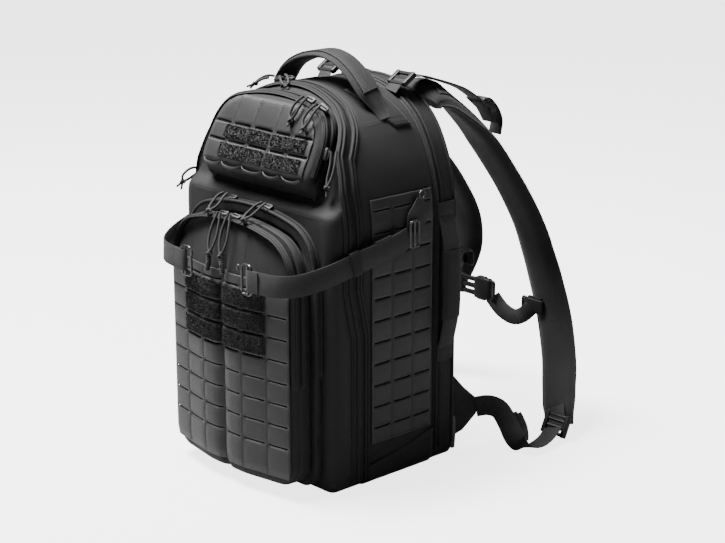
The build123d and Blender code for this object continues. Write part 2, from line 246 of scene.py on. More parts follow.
def hard(name, dark, light, rough, metallic=0.0, grain=900.0, depth=0.00006, coat=0.0, gloss=0.5):
    """Moulded plastic or coated metal: fine grain, handling marks and rubbed edges."""
    n = Nodes(name)
    source = n.coordinates()
    marks, speckle = n.noise(source, 60.0, 6.0), n.noise(source, grain, 2.0)
    rubbed = n.add("ShaderNodeNewGeometry").outputs["Pointiness"]
    edge = n.math("MAXIMUM", n.math("MULTIPLY", n.math("SUBTRACT", rubbed, value=0.53), value=5.0), value=0.0)
    n.ramp(n.math("ADD", n.math("MULTIPLY", marks, value=0.8), edge), 0.25, 1.0, dark, light, "Base Color")
    n.range(marks, rough - 0.1, rough + 0.12, "Roughness")
    n.bump(speckle, depth)
    n.fixed(Metallic=metallic, Coat_Weight=coat, Specular_IOR_Level=gloss)
    return n.material


PACK = fabric("pack_nylon", grey(0.003), grey(0.009), 0.62, 0.0006, 0.00022)
BOOT = fabric("boot_nylon", grey(0.003), grey(0.009), 0.6, 0.0009, 0.0003)
LAMINATE = fabric("cut_laminate", grey(0.007), grey(0.026), 0.42, 0.0004, 0.0001)
PILE = fabric("loop_pile", grey(0.003), grey(0.018), 0.85, 0.0011, 0.0006, sheen=0.12)
TAPE = fabric("zip_tape", grey(0.0025), grey(0.009), 0.6, 0.0005, 0.0002)
PAD = fabric("pad_cloth", grey(0.003), grey(0.01), 0.7, 0.0008, 0.0003, sheen=0.05)
MESH = fabric("spacer_mesh", grey(0.002), grey(0.013), 0.8, 0.0026, 0.0012, sheen=0.08)
LINING = fabric("lining", grey(0.03), grey(0.075), 0.6, 0.001, 0.0002)
WEBBING = webbing("strap_webbing", grey(0.004), grey(0.014), 0.0014)
CORD = webbing("braided_cord", grey(0.004), grey(0.02), 0.0011, uv=False)
THREAD = webbing("sewing_thread", grey(0.008), grey(0.03), 0.0006, uv=False)
PLASTIC = hard("buckle_acetal", grey(0.002), grey(0.006), 0.55, gloss=0.22)
TEETH = hard("zip_coil", grey(0.002), grey(0.006), 0.55, depth=0.00003, gloss=0.3)
METAL = hard("coated_steel", grey(0.015), grey(0.07), 0.3, metallic=0.8, coat=0.15)
SLIDER_METAL = hard("slider_enamel", grey(0.006), grey(0.03), 0.55, gloss=0.3)
BINDING = webbing("worn_binding", grey(0.03), grey(0.11), 0.0014)
FRAME_PLASTIC = hard("frame_polyethylene", grey(0.03), grey(0.05), 0.5)
ALUMINIUM = hard("stay_aluminium", grey(0.4), grey(0.62), 0.35, metallic=1.0)


# ---- mesh helpers ----
PACK_MIDDLE = np.array([0.0, 20.0, 220.0])


def faced_outwards(verts, faces, centre):
    """The faces, all turned round if most of them look towards the centre."""
    v = np.asarray(verts, float)
    a, b, c = (v[[f[i] for f in faces]] for i in range(3))
    facing = np.einsum("ij,ij->i", np.cross(b - a, c - a), a - centre).sum()
    return faces if facing >= 0 else [tuple(f)[::-1] for f in faces]


def make(name, skin, material, slot, sharp=40, solid=0.0, bevel=0.0):
    """A smooth mesh piece from a skin: points, faces and one uv pair per point, in millimetres.

    Edges steeper than sharp degrees stay crisp; solid thickens a sheet inwards."""
    verts, faces, uvs = skin
    faces = faced_outwards(verts, faces, PACK_MIDDLE if solid else np.mean(verts, axis=0))
    mesh = bpy.data.meshes.new(name)
    mesh.from_pydata([tuple(v) for v in np.asarray(verts, float) * MM], [], [tuple(f) for f in faces])
    layer = mesh.uv_layers.new(name="UVMap")
    index = np.zeros(len(mesh.loops), np.int32)
    mesh.loops.foreach_get("vertex_index", index)
    layer.data.foreach_set("uv", (np.asarray(uvs, float) * MM)[index].astype(np.float32).ravel())
    mesh.polygons.foreach_set("use_smooth", [True] * len(mesh.polygons))
    mesh.set_sharp_from_angle(angle=math.radians(sharp))
    mesh.materials.append(material)
    piece = bpy.data.objects.new(name, mesh)
    bpy.context.scene.collection.objects.link(piece)
    if solid:
        modifier = piece.modifiers.new("thickness", "SOLIDIFY")
        modifier.thickness, modifier.offset = solid * MM, -1
    if bevel:
        modifier = piece.modifiers.new("edges", "BEVEL")
        modifier.width, modifier.segments, modifier.limit_method = bevel * MM, 2, "ANGLE"
    return piece


def grid(rows, closed=False, cap=False):
    """Points, faces and uvs of a skin laid over rows of equally many points."""
    rows = np.array(rows, float)
    count, width = rows.shape[:2]
    verts = rows.reshape(-1, 3)
    across = np.linalg.norm(np.diff(rows, axis=1, append=rows[:, :1]), axis=2)
    along = np.linalg.norm(np.diff(rows, axis=0, prepend=rows[:1]), axis=2)
    v = np.cumsum(across, axis=1) - across
    u = np.cumsum(along.mean(1))[:, None] + np.zeros(width)
    faces = []
    for i in range(count - 1):
        for j in range(width if closed else width - 1):
            k = (j + 1) % width
            faces.append((i * width + j, i * width + k, (i + 1) * width + k, (i + 1) * width + j))
    if cap:
        faces.append(tuple(range(width))[::-1])
        faces.append(tuple((count - 1) * width + j for j in range(width)))
    return verts, faces, np.dstack([u, v]).reshape(-1, 2)


def mirrored(side, points):
    return [(side * x, y, z) for x, y, z in points]


def smooth_path(points, step=4.0):
    """Evenly spaced points on a smooth curve through a few given ones."""
    p = np.array(points, float)
    p = np.vstack([2 * p[0] - p[1], p, 2 * p[-1] - p[-2]])
    dense = []
    for a, b, c, d in zip(p, p[1:], p[2:], p[3:]):
        for t in np.linspace(0, 1, 24, endpoint=False):
            dense.append(0.5 * (2 * b + (c - a) * t + (2 * a - 5 * b + 4 * c - d) * t ** 2
                                + (3 * b - a - 3 * c + d) * t ** 3))
    dense = np.array(dense + [p[-2]])
    run = distances(dense)
    at = np.linspace(0, run[-1], max(3, int(run[-1] / step) + 1))
    return sampled(at, run, dense)


def distances(path):
    """How far along a path each of its points lies."""
    return np.concatenate([[0], np.cumsum(np.linalg.norm(np.diff(path, axis=0), axis=1))])


def sampled(at, run, values):
    """Points or directions known at the distances run, taken at other distances."""
    return np.stack([np.interp(at, run, values[:, i]) for i in range(3)], 1)


def unit(v):
    return v / np.maximum(np.linalg.norm(v, axis=-1, keepdims=True), 1e-9)


def tangents(path, closed=False):
    if closed:
        return unit(np.roll(path, -1, 0) - np.roll(path, 1, 0))
    return unit(np.gradient(path, axis=0))


def sweep(path, up, profile, closed=False, scale=None):
    """Skin of a profile (side, up) carried along a path whose up directions are given."""
    path = np.asarray(path, float)
    run = tangents(path, closed)
    side = unit(np.cross(run, np.broadcast_to(np.asarray(up, float), path.shape)))
    lift = np.cross(side, run)
    profile = np.array(profile, float)
    size = np.ones(len(path)) if scale is None else np.asarray(scale)
    rows = (path[:, None] + side[:, None] * (profile[None, :, :1] * size[:, None, None])
            + lift[:, None] * (profile[None, :, 1:] * size[:, None, None]))
    if closed:
        rows = np.concatenate([rows, rows[:1]])
    return grid(rows, closed=True, cap=not closed)


def ring(radius, count=10):
    turn = np.linspace(0, 2 * math.pi, count, endpoint=False)
    return np.stack([radius * np.cos(turn), radius * np.sin(turn)], 1)


def flat_profile(width, thick, count=4):
    """A flat strap's section, with rounded edges."""
    half, r = width / 2, thick / 2
    turn = np.linspace(-math.pi / 2, math.pi / 2, count)
    right = np.stack([half - r + r * np.cos(turn), r * np.sin(turn)], 1)
    left = np.stack([-half + r - r * np.cos(turn), -r * np.sin(turn)], 1)
    return np.vstack([right, left])


def pad_profile(width, thick, binding=4.0):
    """A padded strap's section: a crowned core that narrows to thin bound edges."""
    s = np.array([-1, -0.93, -0.86, -0.8, -0.6, -0.3, 0, 0.3, 0.6, 0.8, 0.86, 0.93, 1])
    core = (thick / 2) * np.clip(1 - np.abs(s / 0.9) ** 5, 0, 1) ** 0.6
    edge = np.where(np.abs(s) > 0.85, binding / 2 * np.sqrt(np.clip(1.2 - np.abs(s) ** 8, 0.15, 1)), 0)
    half = np.maximum(core, edge)
    return np.vstack([np.stack([s * width / 2, half], 1), np.stack([s * width / 2, -half], 1)[::-1]])


def tube(path, radius, count=8, closed=False):
    path = np.asarray(path, float)
    run = tangents(path, closed)
    guide = np.array([0.31, 0.52, 0.8])
    up = unit(np.cross(run, np.cross(np.broadcast_to(guide, run.shape), run)))
    return sweep(path, up, ring(radius, count), closed)


def merged(parts):
    """One mesh's points, faces and uvs from several."""
    verts, faces, uvs, start = [], [], [], 0
    for v, f, t in parts:
        verts.append(np.asarray(v))
        faces += [tuple(i + start for i in face) for face in f]
        uvs.append(np.asarray(t))
        start += len(v)
    return np.vstack(verts), faces, np.vstack(uvs)


def block(centre, along, across, up, size, round_by=0.22):
    """A rounded brick: centre, three directions and its full sizes along them."""
    axes = np.array([unit(np.array(a, float)) for a in (along, across, up)])
    a, b, c = (s / 2 for s in size)
    r = round_by * min(a, b, c) * 2
    levels = [(-c, r), (-c + r * 0.3, r * 0.3), (-c + r, 0), (c - r, 0), (c - r * 0.3, r * 0.3), (c, r)]
    rows = []
    for height, inset in levels:
        x, y = a - inset, b - inset
        corner = [(x, y - r), (x - r * 0.3, y - r * 0.3), (x - r, y), (-x + r, y),
                  (-x + r * 0.3, y - r * 0.3), (-x, y - r), (-x, -y + r), (-x + r * 0.3, -y + r * 0.3),
                  (-x + r, -y), (x - r, -y), (x - r * 0.3, -y + r * 0.3), (x, -y + r)]
        rows.append([np.array(centre) + axes[0] * p + axes[1] * q + axes[2] * height for p, q in corner])
    return grid(rows, closed=True, cap=True)


def stitches(path, normals, pitch=3.2, length=2.3, width=0.45):
    """A row of separate stitches along a path, each a small bead of thread on the cloth."""
    path, normals = np.asarray(path, float), np.broadcast_to(np.asarray(normals, float), np.shape(path))
    run = distances(path)
    at = np.arange(pitch / 2, run[-1], pitch)
    centre = sampled(at, run, path)
    lift = unit(sampled(at, run, normals))
    forward = unit(sampled(at, run, tangents(path)))
    side = np.cross(forward, lift)
    corners = [centre - forward * length / 2 - lift * 0.1, centre + side * width, centre + lift * width,
               centre - side * width, centre + forward * length / 2 - lift * 0.1]
    verts = np.stack(corners, 1).reshape(-1, 3)
    faces = []
    for i in range(len(at)):
        k = i * 5
        faces += [(k, k + 1, k + 2), (k, k + 2, k + 3), (k + 4, k + 2, k + 1), (k + 4, k + 3, k + 2),
                  (k, k + 3, k + 1), (k + 4, k + 1, k + 3)]
    return verts, faces, np.zeros((len(verts), 2))


def place(piece, body, *nodes):
    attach(piece, body)
    if nodes:
        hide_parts(*nodes)
    return piece


def put(name, skin, material, slot, body, *nodes, **form):
    """A new piece that rides a body and stands for the CAD nodes named."""
    return place(make(name, skin, material, slot, **form), body, *nodes)


def from_right(side, node):
    """A CAD node that holds both sides' pieces is stood for by the right one."""
    return [node] if side > 0 else []


def dress(material, slot, *nodes):
    """A CAD node that keeps its shape gets its material; its slot is not used."""
    for name in nodes:
        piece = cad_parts[name]
        piece.data.materials.clear()
        piece.data.materials.append(material)


# ---- camera ----
def camera():
    """The photo's viewpoint: where the eye is, and its right, up and backward directions."""
    data = bpy.data.cameras.new("camera")
    data.lens, data.sensor_width = 86.25, 36.0
    data.clip_start, data.clip_end = 0.05, 50
    eye = bpy.data.objects.new("camera", data)
    bpy.context.scene.collection.objects.link(eye)
    right, up = Vector((0.682, 0.7314, 0)), Vector((-0.2028, 0.1891, 0.9608))
    back = Vector((0.7027, -0.6553, 0.2773))
    turn = Matrix((right, up, back)).transposed().to_4x4()
    eye.matrix_world = Matrix.Translation((1.477, -1.285, 0.791)) @ turn
    bpy.context.scene.camera = eye


camera()

# ---- zip pulls' cords, each a loop of cord through its slider ----
PULL_CORD = 3.0
PULLS = {"main_side": (49.6, [(-135, -52, 337), (-135.8, -58, 338), (-136, -66, 335), (-136, -73, 330),
                              (-136, -72, 323), (-136, -65, 324), (-135.8, -58, 327), (-135, -52, 330)]),
         "main_top": (48.5, [(-47, -3, 452), (-53, -6, 453), (-60, -10, 450), (-66, -14, 445),
                             (-63, -19, 443), (-57, -18, 447), (-52, -15, 450), (-47, -11, 451)]),
         "upper_top": (64.6, [(48, -41, 446), (45, -47, 442), (42, -52, 435), (41, -56, 427),
                              (46, -59, 421), (51, -56, 428), (53, -52, 436), (54, -47, 442),
                              (55, -41, 446)]),
         "upper_side": (77.1, [(104.5, -51, 394), (106, -53, 386), (108, -57, 376), (108, -61, 365),
                               (111, -64, 357), (113, -60, 364), (113, -55, 376), (111, -51, 386),
                               (108, -47, 394)]),
         "lower": (94.2, [(-17, -113.5, 315), (-20, -118, 304), (-22, -122, 291), (-21, -126, 279),
                          (-16, -128.5, 270), (-11, -126, 279), (-9, -122, 291), (-10, -118, 304),
                          (-13, -113.5, 315)]),
         "organiser": (64.6, [(27, -86, 329), (25, -92, 328), (23, -99, 322), (22, -107, 317),
                              (27, -113, 314), (32, -108, 317), (34, -100, 322), (35, -92, 328),
                              (33, -86, 329)]),
}


def knot(centre, hang, size=2.3):
    """An overhand knot in doubled cord, with two short tails that hang from it."""
    t = np.linspace(0, 2 * math.pi, 60, endpoint=False)
    loop = np.stack([np.sin(t) + 2 * np.sin(2 * t), np.cos(t) - 2 * np.cos(2 * t), -np.sin(3 * t)], 1)
    parts = [tube(np.array(centre) + loop * size * 0.42, 1.35, 8, closed=True)]
    hang = np.array(hang, float)
    spread = unit(np.cross(hang, (0.3, 0.4, 0.86)))
    for turn in (-1, 1):
        tail = smooth_path([centre, np.array(centre) + hang * 0.5 + spread * turn * 1.5,
                            np.array(centre) + hang + spread * turn * 3.2], 1.5)
        parts.append(tube(tail, 1.3, 8))
    return merged(parts)


def pull(name, hang, second=None, sleeve=0, body=None):
    """One free loop of cord with its knot, and a braided grip if a sleeve length is given.

    second moves the pair's other pull along the zip and says whether it is mirrored."""
    length, route = PULLS[name]
    label = name + ("_second" if second else "")
    if second:
        flip = -1 if second[3] else 1
        middle = route[0][0]
        route = [(middle + (x - middle) * flip + second[0], y + second[1], z + second[2])
                 for x, y, z in route]
    curve = bpy.data.curves.new("cord_" + label, "CURVE")
    curve.dimensions, curve.bevel_depth, curve.bevel_resolution = "3D", PULL_CORD / 2 * MM, 3
    curve.use_fill_caps = True
    spline = curve.splines.new("NURBS")
    spline.points.add(len(route) - 1)
    for point, at in zip(spline.points, route):
        point.co = (*(c * MM for c in at), 1)
    spline.order_u = 3
    spline.use_endpoint_u = True
    spline.resolution_u = 12
    curve.materials.append(CORD)
    line = bpy.data.objects.new("cord_" + label, curve)
    bpy.context.scene.collection.objects.link(line)
    body = body or "zip_" + name
    place(line, body, *([] if second else ["pull_cord_" + name]))
    low = np.array(route[len(route) // 2], float)
    parts = [knot(low, hang)]
    if sleeve:
        start = low + np.array(hang, float) * 0.35
        grip = smooth_path([start, start + unit(np.array(hang, float)) * sleeve * 0.5 + (0.8, 0, 0),
                            start + unit(np.array(hang, float)) * sleeve], 0.8)
        thick = 1 + 0.09 * np.sin(np.arange(len(grip)) * 1.9)
        parts.append(sweep(grip, (0.3, -0.9, 0.3), ring(3.0, 12), scale=thick))
    tied = make("knot_" + label, merged(parts), CORD, "cord")
    place(tied, body)
    tuple(c * MM for c in route[0])


pull("main_side", (0, -6, -7))
pull("main_top", (-8, -3, -5))
pull("upper_top", (1, -3, -7))
pull("upper_side", (1, -1, -10))
pull("lower", (-1, -1, -10), sleeve=16)
pull("organiser", (1, -3, -5))
pull("main_top", (6, -6, 2), second=(20, -0.6, 4.0, True))
pull("upper_top", (4, -5, -6), second=(24, -2.4, -5.6, False))
pull("lower", (3, -1, -10), second=(22, 0.0, 0.4, True), sleeve=16)
pull("organiser", (-3, -2, -5), second=(-62, 0, -0.6, True), body="clamshell_front")


# ---- zip sliders ----
def slider(name, along, out, shift=None, body=None):
    """A flared body that narrows over the coil, with the bridge that holds the cord loop.

    shift makes the pair's other slider, which rides its twin unless a body is given."""
    low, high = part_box("slider_" + name)
    centre = np.array((low + high) / 2) / MM + (shift or (0, 0, 0))
    along, out = unit(np.array(along, float)), unit(np.array(out, float))
    across = np.cross(out, along)
    section = ((1, -0.6), (1, 0.2), (0.8, 0.7), (-0.8, 0.7), (-1, 0.2), (-1, -0.6), (-0.6, -1), (0.6, -1))
    rows = []
    for s, half, tall in ((-6.8, 2.2, 1.5), (-5, 3.3, 2.3), (0, 3.6, 2.4), (4.5, 4.3, 2.4), (6.8, 3.4, 1.6)):
        rows.append([centre + along * s + across * a * half + out * b * tall for a, b in section])
    arc = ((-5.2, 1.4), (-3.4, 2.5), (0, 2.7), (3, 2.5), (4.8, 1.2))
    bridge = smooth_path([centre + along * s + out * h for s, h in arc], 1)
    parts = [grid(rows, closed=True, cap=True), tube(bridge, 0.9, 8)]
    label = name + ("_second" if shift else "")
    return put("slider_body_" + label, merged(parts), SLIDER_METAL, "zip_metal", body or "zip_" + name,
               *([] if shift else ["slider_" + name]), bevel=0.3)


slider("main_side", (0, 0, 1), (-1, 0, 0))
slider("main_top", (0.967, 0, 0.254), (-0.25, 0, 0.97))
slider("upper_top", (0.98, 0, -0.198), (0.15, -0.5, 0.85))
slider("upper_side", (0, 0.422, 0.907), (1, 0, 0))
slider("lower", (0.998, 0, 0.058), (0, -0.3, 0.95))
slider("organiser", (0.994, 0, -0.111), (0, -0.4, 0.9))
slider("main_top", (-0.99, 0, -0.14), (-0.1, 0, 0.99), (20, 0.6, 2.8))
slider("upper_top", (-0.93, 0, 0.36), (0.35, -0.5, 0.8), (24, -1.8, -5.6))
slider("lower", (-0.998, 0, 0.058), (0, -0.3, 0.95), (22, 0.0, 0.4))
slider("organiser", (-0.99, 0, -0.12), (0, -0.4, 0.9), (-62, 0, -0.6), "clamshell_front")


# ---- main compartment: the clamshell's front, the body behind it and the zip between them ----
def band(outline, y_of, bulge=1.2, count=9, seed=0.0, lift=0.0):
    """Rows of points round an outline, from a front edge to a back edge, slightly padded between."""
    p, n = outline
    rows = []
    for share in np.linspace(0, 1, count):
        front, back = y_of(p[:, 1])
        y = front + (back - front) * share
        at = np.stack([p[:, 0], y, p[:, 1]], 1)
        out = np.stack([n[:, 0], 0 * y, n[:, 1]], 1)
        puff = bulge * math.sin(math.pi * share) ** 0.7
        soft = (noise3(at, 34.0, seed) * 0.9 + noise3(at, 12.0, seed + 3) * 0.35) * math.sin(math.pi * share)
        flat = np.clip((p[:, 1] - 8) / 25, 0, 1)
        rows.append(at + out * (lift + (puff + soft) * flat)[:, None])
    return np.array(rows)


def front_y(z):
    """The clamshell's front face: upright behind the pockets, then leaning back."""
    z = np.asarray(z, float)
    return np.interp(z, [SHELF - 4, SHELF + 4, SHELF + 9, 335, 340, 452],
                     [FRONT_FACE, -74, -69, -62, -59, -15])


def fan(edge, centre, y_of, rings=16, wrinkle=0.0, seed=0.0):
    """Rows that shrink from a closed edge ring to a centre, laid on a front surface y_of(x, z)."""
    rows = []
    for t in np.linspace(1, 0.001, rings) ** 0.9:
        x = centre[0] + (edge[:, 0] - centre[0]) * t
        z = centre[1] + (edge[:, 2] - centre[1]) * t
        base = y_of(x, z)
        start = edge[:, 1] - y_of(edge[:, 0], edge[:, 2])
        y = base + start * np.clip((t - 0.9) / 0.1, 0, 1) ** 2
        at = np.stack([x, y, z], 1)
        at[:, 1] += (noise3(at, 26.0, seed) + 0.4 * noise3(at, 9.0, seed)) * wrinkle * (1 - t ** 6)
        rows.append(at)
    return np.array(rows)


def rounded_front(outline, y_front, y_back_edge, radius):
    """Rows from a pocket's or shell's back edge round its front corner, ending on the face."""
    p, n = outline
    rows = [np.stack([p[:, 0], y_back_edge, p[:, 1]], 1)]
    for turn in np.linspace(0, math.pi / 2, 6):
        inset = radius * (1 - math.cos(turn))
        q = p - n * inset
        y = y_front(q[:, 0], q[:, 1]) + radius * (1 - math.sin(turn))
        rows.append(np.stack([q[:, 0], np.minimum(y, y_back_edge), q[:, 1]], 1))
    return rows


def zip_gap(z):
    """Half the opening between the two shells, closed under the base where the zip stops."""
    return 0.4 + 10.1 * np.clip((np.asarray(z) - 6) / 14, 0, 1)


def main_compartment():
    rear = band(BODY, lambda z: (zip_y(z) + zip_gap(z), 0 * z + REAR_SEAM - 0.6), 1.0, 12, 1.0)
    back = fan(rear[-1], (0, 220), lambda x, z: 0 * x + REAR_SEAM - 0.6, 8)
    put("main_body", grid(np.concatenate([rear, back[1:]]), closed=True), PACK, "pack_fabric",
        "pack_body", "main_shell", solid=2.2)

    rows = rounded_front(BODY, lambda x, z: front_y(z), zip_y(BODY[0][:, 1]) - zip_gap(BODY[0][:, 1]), 13)
    face = fan(rows[-1], (0, 220), lambda x, z: front_y(z), 64, 0.7, 3.0)
    put("clamshell_front_body", grid(np.concatenate([rows, face[1:]]), closed=True), PACK, "pack_fabric",
        "clamshell_front", "front_shell", solid=2.2)


def along_outline(outline, low, y_of, lift):
    """A path over the arch from one side's low end to the other's, and its outward normals."""
    p, n = outline
    keep = p[:, 1] > low
    order = np.argsort(np.unwrap(np.arctan2(p[keep][:, 1] - 200, p[keep][:, 0])
                                 + math.pi / 2) % (2 * math.pi))
    q, m = p[keep][order], n[keep][order]
    y = y_of(q[:, 1])
    path = np.stack([q[:, 0] + m[:, 0] * lift, y, q[:, 1] + m[:, 1] * lift], 1)
    return path, np.stack([m[:, 0], 0 * y, m[:, 1]], 1)


def coil(path, normals, side, pitch=2.1, reach=2.6):
    """One side's teeth of a coil zip, as separate small loops across the gap."""
    run = distances(path)
    at = np.arange(pitch * (1 + 0.5 * (side > 0)), run[-1] - pitch, pitch)
    centre = sampled(at, run, path)
    lift = unit(sampled(at, run, normals))
    ahead = unit(sampled(at, run, tangents(path)))
    across = np.cross(ahead, lift) * side
    profile = [(0.25, 0.0), (0.5, 0.85), (reach * 0.6, 1.0), (reach, 0.55), (reach, 0.1)]
    verts = []
    for half in (-0.5, 0.5):
        for a, b in profile:
            verts.append(centre + across * (a - 0.15) + lift * b + ahead * half * 1.05)
    verts = np.stack(verts, 1).reshape(-1, 3)
    faces, k = [], len(profile)
    for i in range(len(at)):
        s = i * 2 * k
        faces += [(s + j, s + j + 1, s + k + j + 1, s + k + j) for j in range(k - 1)]
        faces += [tuple(s + j for j in range(k))[::-1], tuple(s + k + j for j in range(k)),
                  (s + k - 1, s, s + k, s + 2 * k - 1)]
    return verts, faces, np.zeros((len(verts), 2))


def zip_half(name, path, normals, side, body, nodes, rib=3.4, width=9.0):
    """One half of a zip: piping rib, flat tape, teeth along the middle and a stitched edge."""
    across = np.cross(tangents(path), unit(normals)) * side
    tape_profile = np.array([(0.6, 0.0), (width * 0.45, 0.5), (width * 0.5, 1.3), (width + rib, 1.1),
                             (width + rib + 1, 0.1), (width + rib, -0.5), (0.6, -0.6)])
    tape_profile[:, 0] *= side
    if side < 0:
        tape_profile = tape_profile[::-1]
    tape = sweep(path, normals, tape_profile)
    pipe = sweep(path + across * (width * 0.5 + rib * 0.4) + normals * 1.5, normals, ring(rib / 2, 10))
    outer = sweep(path + across * (width + rib * 0.4) + normals * 1.0, normals, ring(rib / 2.3, 10))
    put(name + "_tape", merged([tape, pipe, outer]), TAPE, "zip_tape", body, *nodes)
    put(name + "_teeth", coil(path, normals, side), TEETH, "zip_tape", body)
    seam = stitches(path + across * (width * 0.75) + normals * 1.45, normals)
    put(name + "_stitches", seam, THREAD, "zip_tape", body)


def main_zip():
    path, normals = along_outline(BODY, 9, zip_y, 0.7)
    zip_half("main_zip_front_half", path, normals, -1, "clamshell_front", ["main_zip_front"])
    zip_half("main_zip_rear_half", path, normals, 1, "pack_body", ["main_zip_rear"])


def cap_seams():
    """Top-stitched seam across each side, under the handle's patches."""
    y = np.linspace(2, 46, 22)
    lines = []
    for side in (1, -1):
        z = np.interp(y, [2, 46], [412, 414])
        lane = np.stack([side * (side_x(z) + 2.1), y, z], 1)
        lines += [stitches(lane, (side * 0.9, 0, 0.45)), stitches(lane + (0, 0, 3.0) - (side * 1.4, 0, 0),
                                                                  (side * 0.9, 0, 0.45))]
    put("cap_stitches", merged(lines), THREAD, "pack_fabric", "pack_body")


main_compartment()
main_zip()
cap_seams()


# ---- laser-cut panels ----
def slotted(name, columns, rows, surface, low, high, puff=1.0, skip=None, end=3.0, gap=1.0):
    """A laminate panel whose cells swell between stitched columns and rows of cut slots."""
    across = [columns[0] - 0.01]
    for a, b in zip(columns, columns[1:]):
        across += [a + end] + [a + end + (b - a - 2 * end) * s for s in (0.2, 0.5, 0.8)] + [b - end, b]
    height = [low]
    marks = [low] + list(rows) + [high]
    for i, (a, b) in enumerate(zip(marks, marks[1:])):
        first = a + gap if i else a
        last = b - gap if i < len(marks) - 2 else b
        steps = (0, 0.12, 0.3, 0.5, 0.7, 0.88, 1) if i else (0.3, 0.6, 0.88, 1)
        height += [first + (last - first) * s for s in steps]
    height = sorted(set(round(h, 3) for h in height))
    across, height = np.array(across), np.array(height)
    a, h = np.meshgrid(across, height)
    near_column = np.min([np.abs(a - c) for c in columns], axis=0)
    near_row = np.min([np.abs(h - r) for r in list(rows) + [low, high]], axis=0)
    swell = puff * (1 - np.exp(-near_column / 2.6)) * (1 - np.exp(-np.maximum(near_row - gap, 0) / 5))
    lip = 0.5 * np.exp(-((near_row - gap) / 1.2) ** 2) * (near_column > end + 1)
    points = surface(a, h, swell + lip)
    verts, faces, uvs = grid(points)
    width, cut = len(across), []
    for index, face in enumerate(faces):
        i, j = divmod(index, width - 1)
        mid_h, mid_a = (height[i] + height[i + 1]) / 2, (across[j] + across[j + 1]) / 2
        open_row = any(abs(mid_h - r) < gap * 0.9 for r in rows)
        clear = min(abs(mid_a - c) for c in columns) > end
        gone = (open_row and clear) or (skip is not None and skip(mid_a, mid_h))
        if not gone:
            cut.append(face)
    used = sorted(set(i for face in cut for i in face))
    new = {old: k for k, old in enumerate(used)}
    faces = [tuple(new[i] for i in face) for face in cut]
    piece = make(name, (verts[used], faces, uvs[used]), LAMINATE, "laminate", solid=1.1, sharp=60)
    lines = []
    for c in columns:
        for shift in (-0.9, 0.9):
            inside = [h for h in np.arange(low + 1, high - 1, 2.5) if skip is None or not skip(c, h)]
            if len(inside) > 3 and (columns[0] < c < columns[-1]):
                lane = surface(np.full(len(inside), c + shift), np.array(inside), np.full(len(inside), 0.25))
                up = surface(np.full(len(inside), c + shift), np.array(inside),
                             np.full(len(inside), 1.25)) - lane
                lines.append(stitches(lane, up))
    sewn = make(name + "_stitches", merged(lines), THREAD, "laminate")
    return piece, sewn


def side_surface(side):
    def surface(y, z, out):
        x = side_x(z) + 2.2 + 0.5 * np.sin(math.pi * np.clip((y - 5) / 75, 0, 1)) + out
        return np.stack([side * x, y, z], -1)
    return surface


for side, word in ((1, "right"), (-1, "left")):
    slots = [71 + MOLLE_PITCH * k for k in range(11)]
    panel, sewn = slotted("side_panel_" + word, [-17, 14, 46, 77], slots, side_surface(side), 52, 338)
    place(panel, "pack_body", *from_right(side, "side_panels"))
    place(sewn, "pack_body")


# ---- outer pocket ----
def lower_face(x, z):
    """Front of the outer pocket: bowed, creased down the middle and leaning back at its top."""
    x, z = np.asarray(x, float), np.asarray(z, float)
    y = -125 + 14 * (np.abs(x) / 112) ** 1.7
    y = y + 21 * (np.clip(z - 228, 0, None) / 82) ** 1.5
    y = y + 4.5 * np.exp(-(x / 5) ** 2) * np.clip((285 - z) / 30, 0.25, 1)
    y = y - 1.8 * np.exp(-((np.abs(x) - 30) / 22) ** 2)
    return y + 4 * np.clip((40 - z) / 30, 0, 1) ** 2


def over(face, outline, margin, lift=1.4):
    """A surface that follows a face at a height above it, kept inside an outline."""
    def surface(x, z, out):
        limit = side_x(z, outline) - margin
        x = np.clip(x, -limit, limit)
        run_x = (face(x + 1, z) - face(x - 1, z)) / 2
        run_z = (face(x, z + 1) - face(x, z - 1)) / 2
        normal = unit(np.stack([run_x, -np.ones_like(run_x), run_z], -1))
        base = np.stack([x, face(x, z), z], -1)
        return base + normal * np.asarray(lift + out)[..., None]
    return surface


pocket_surface = over(lower_face, LOWER, 1.5)


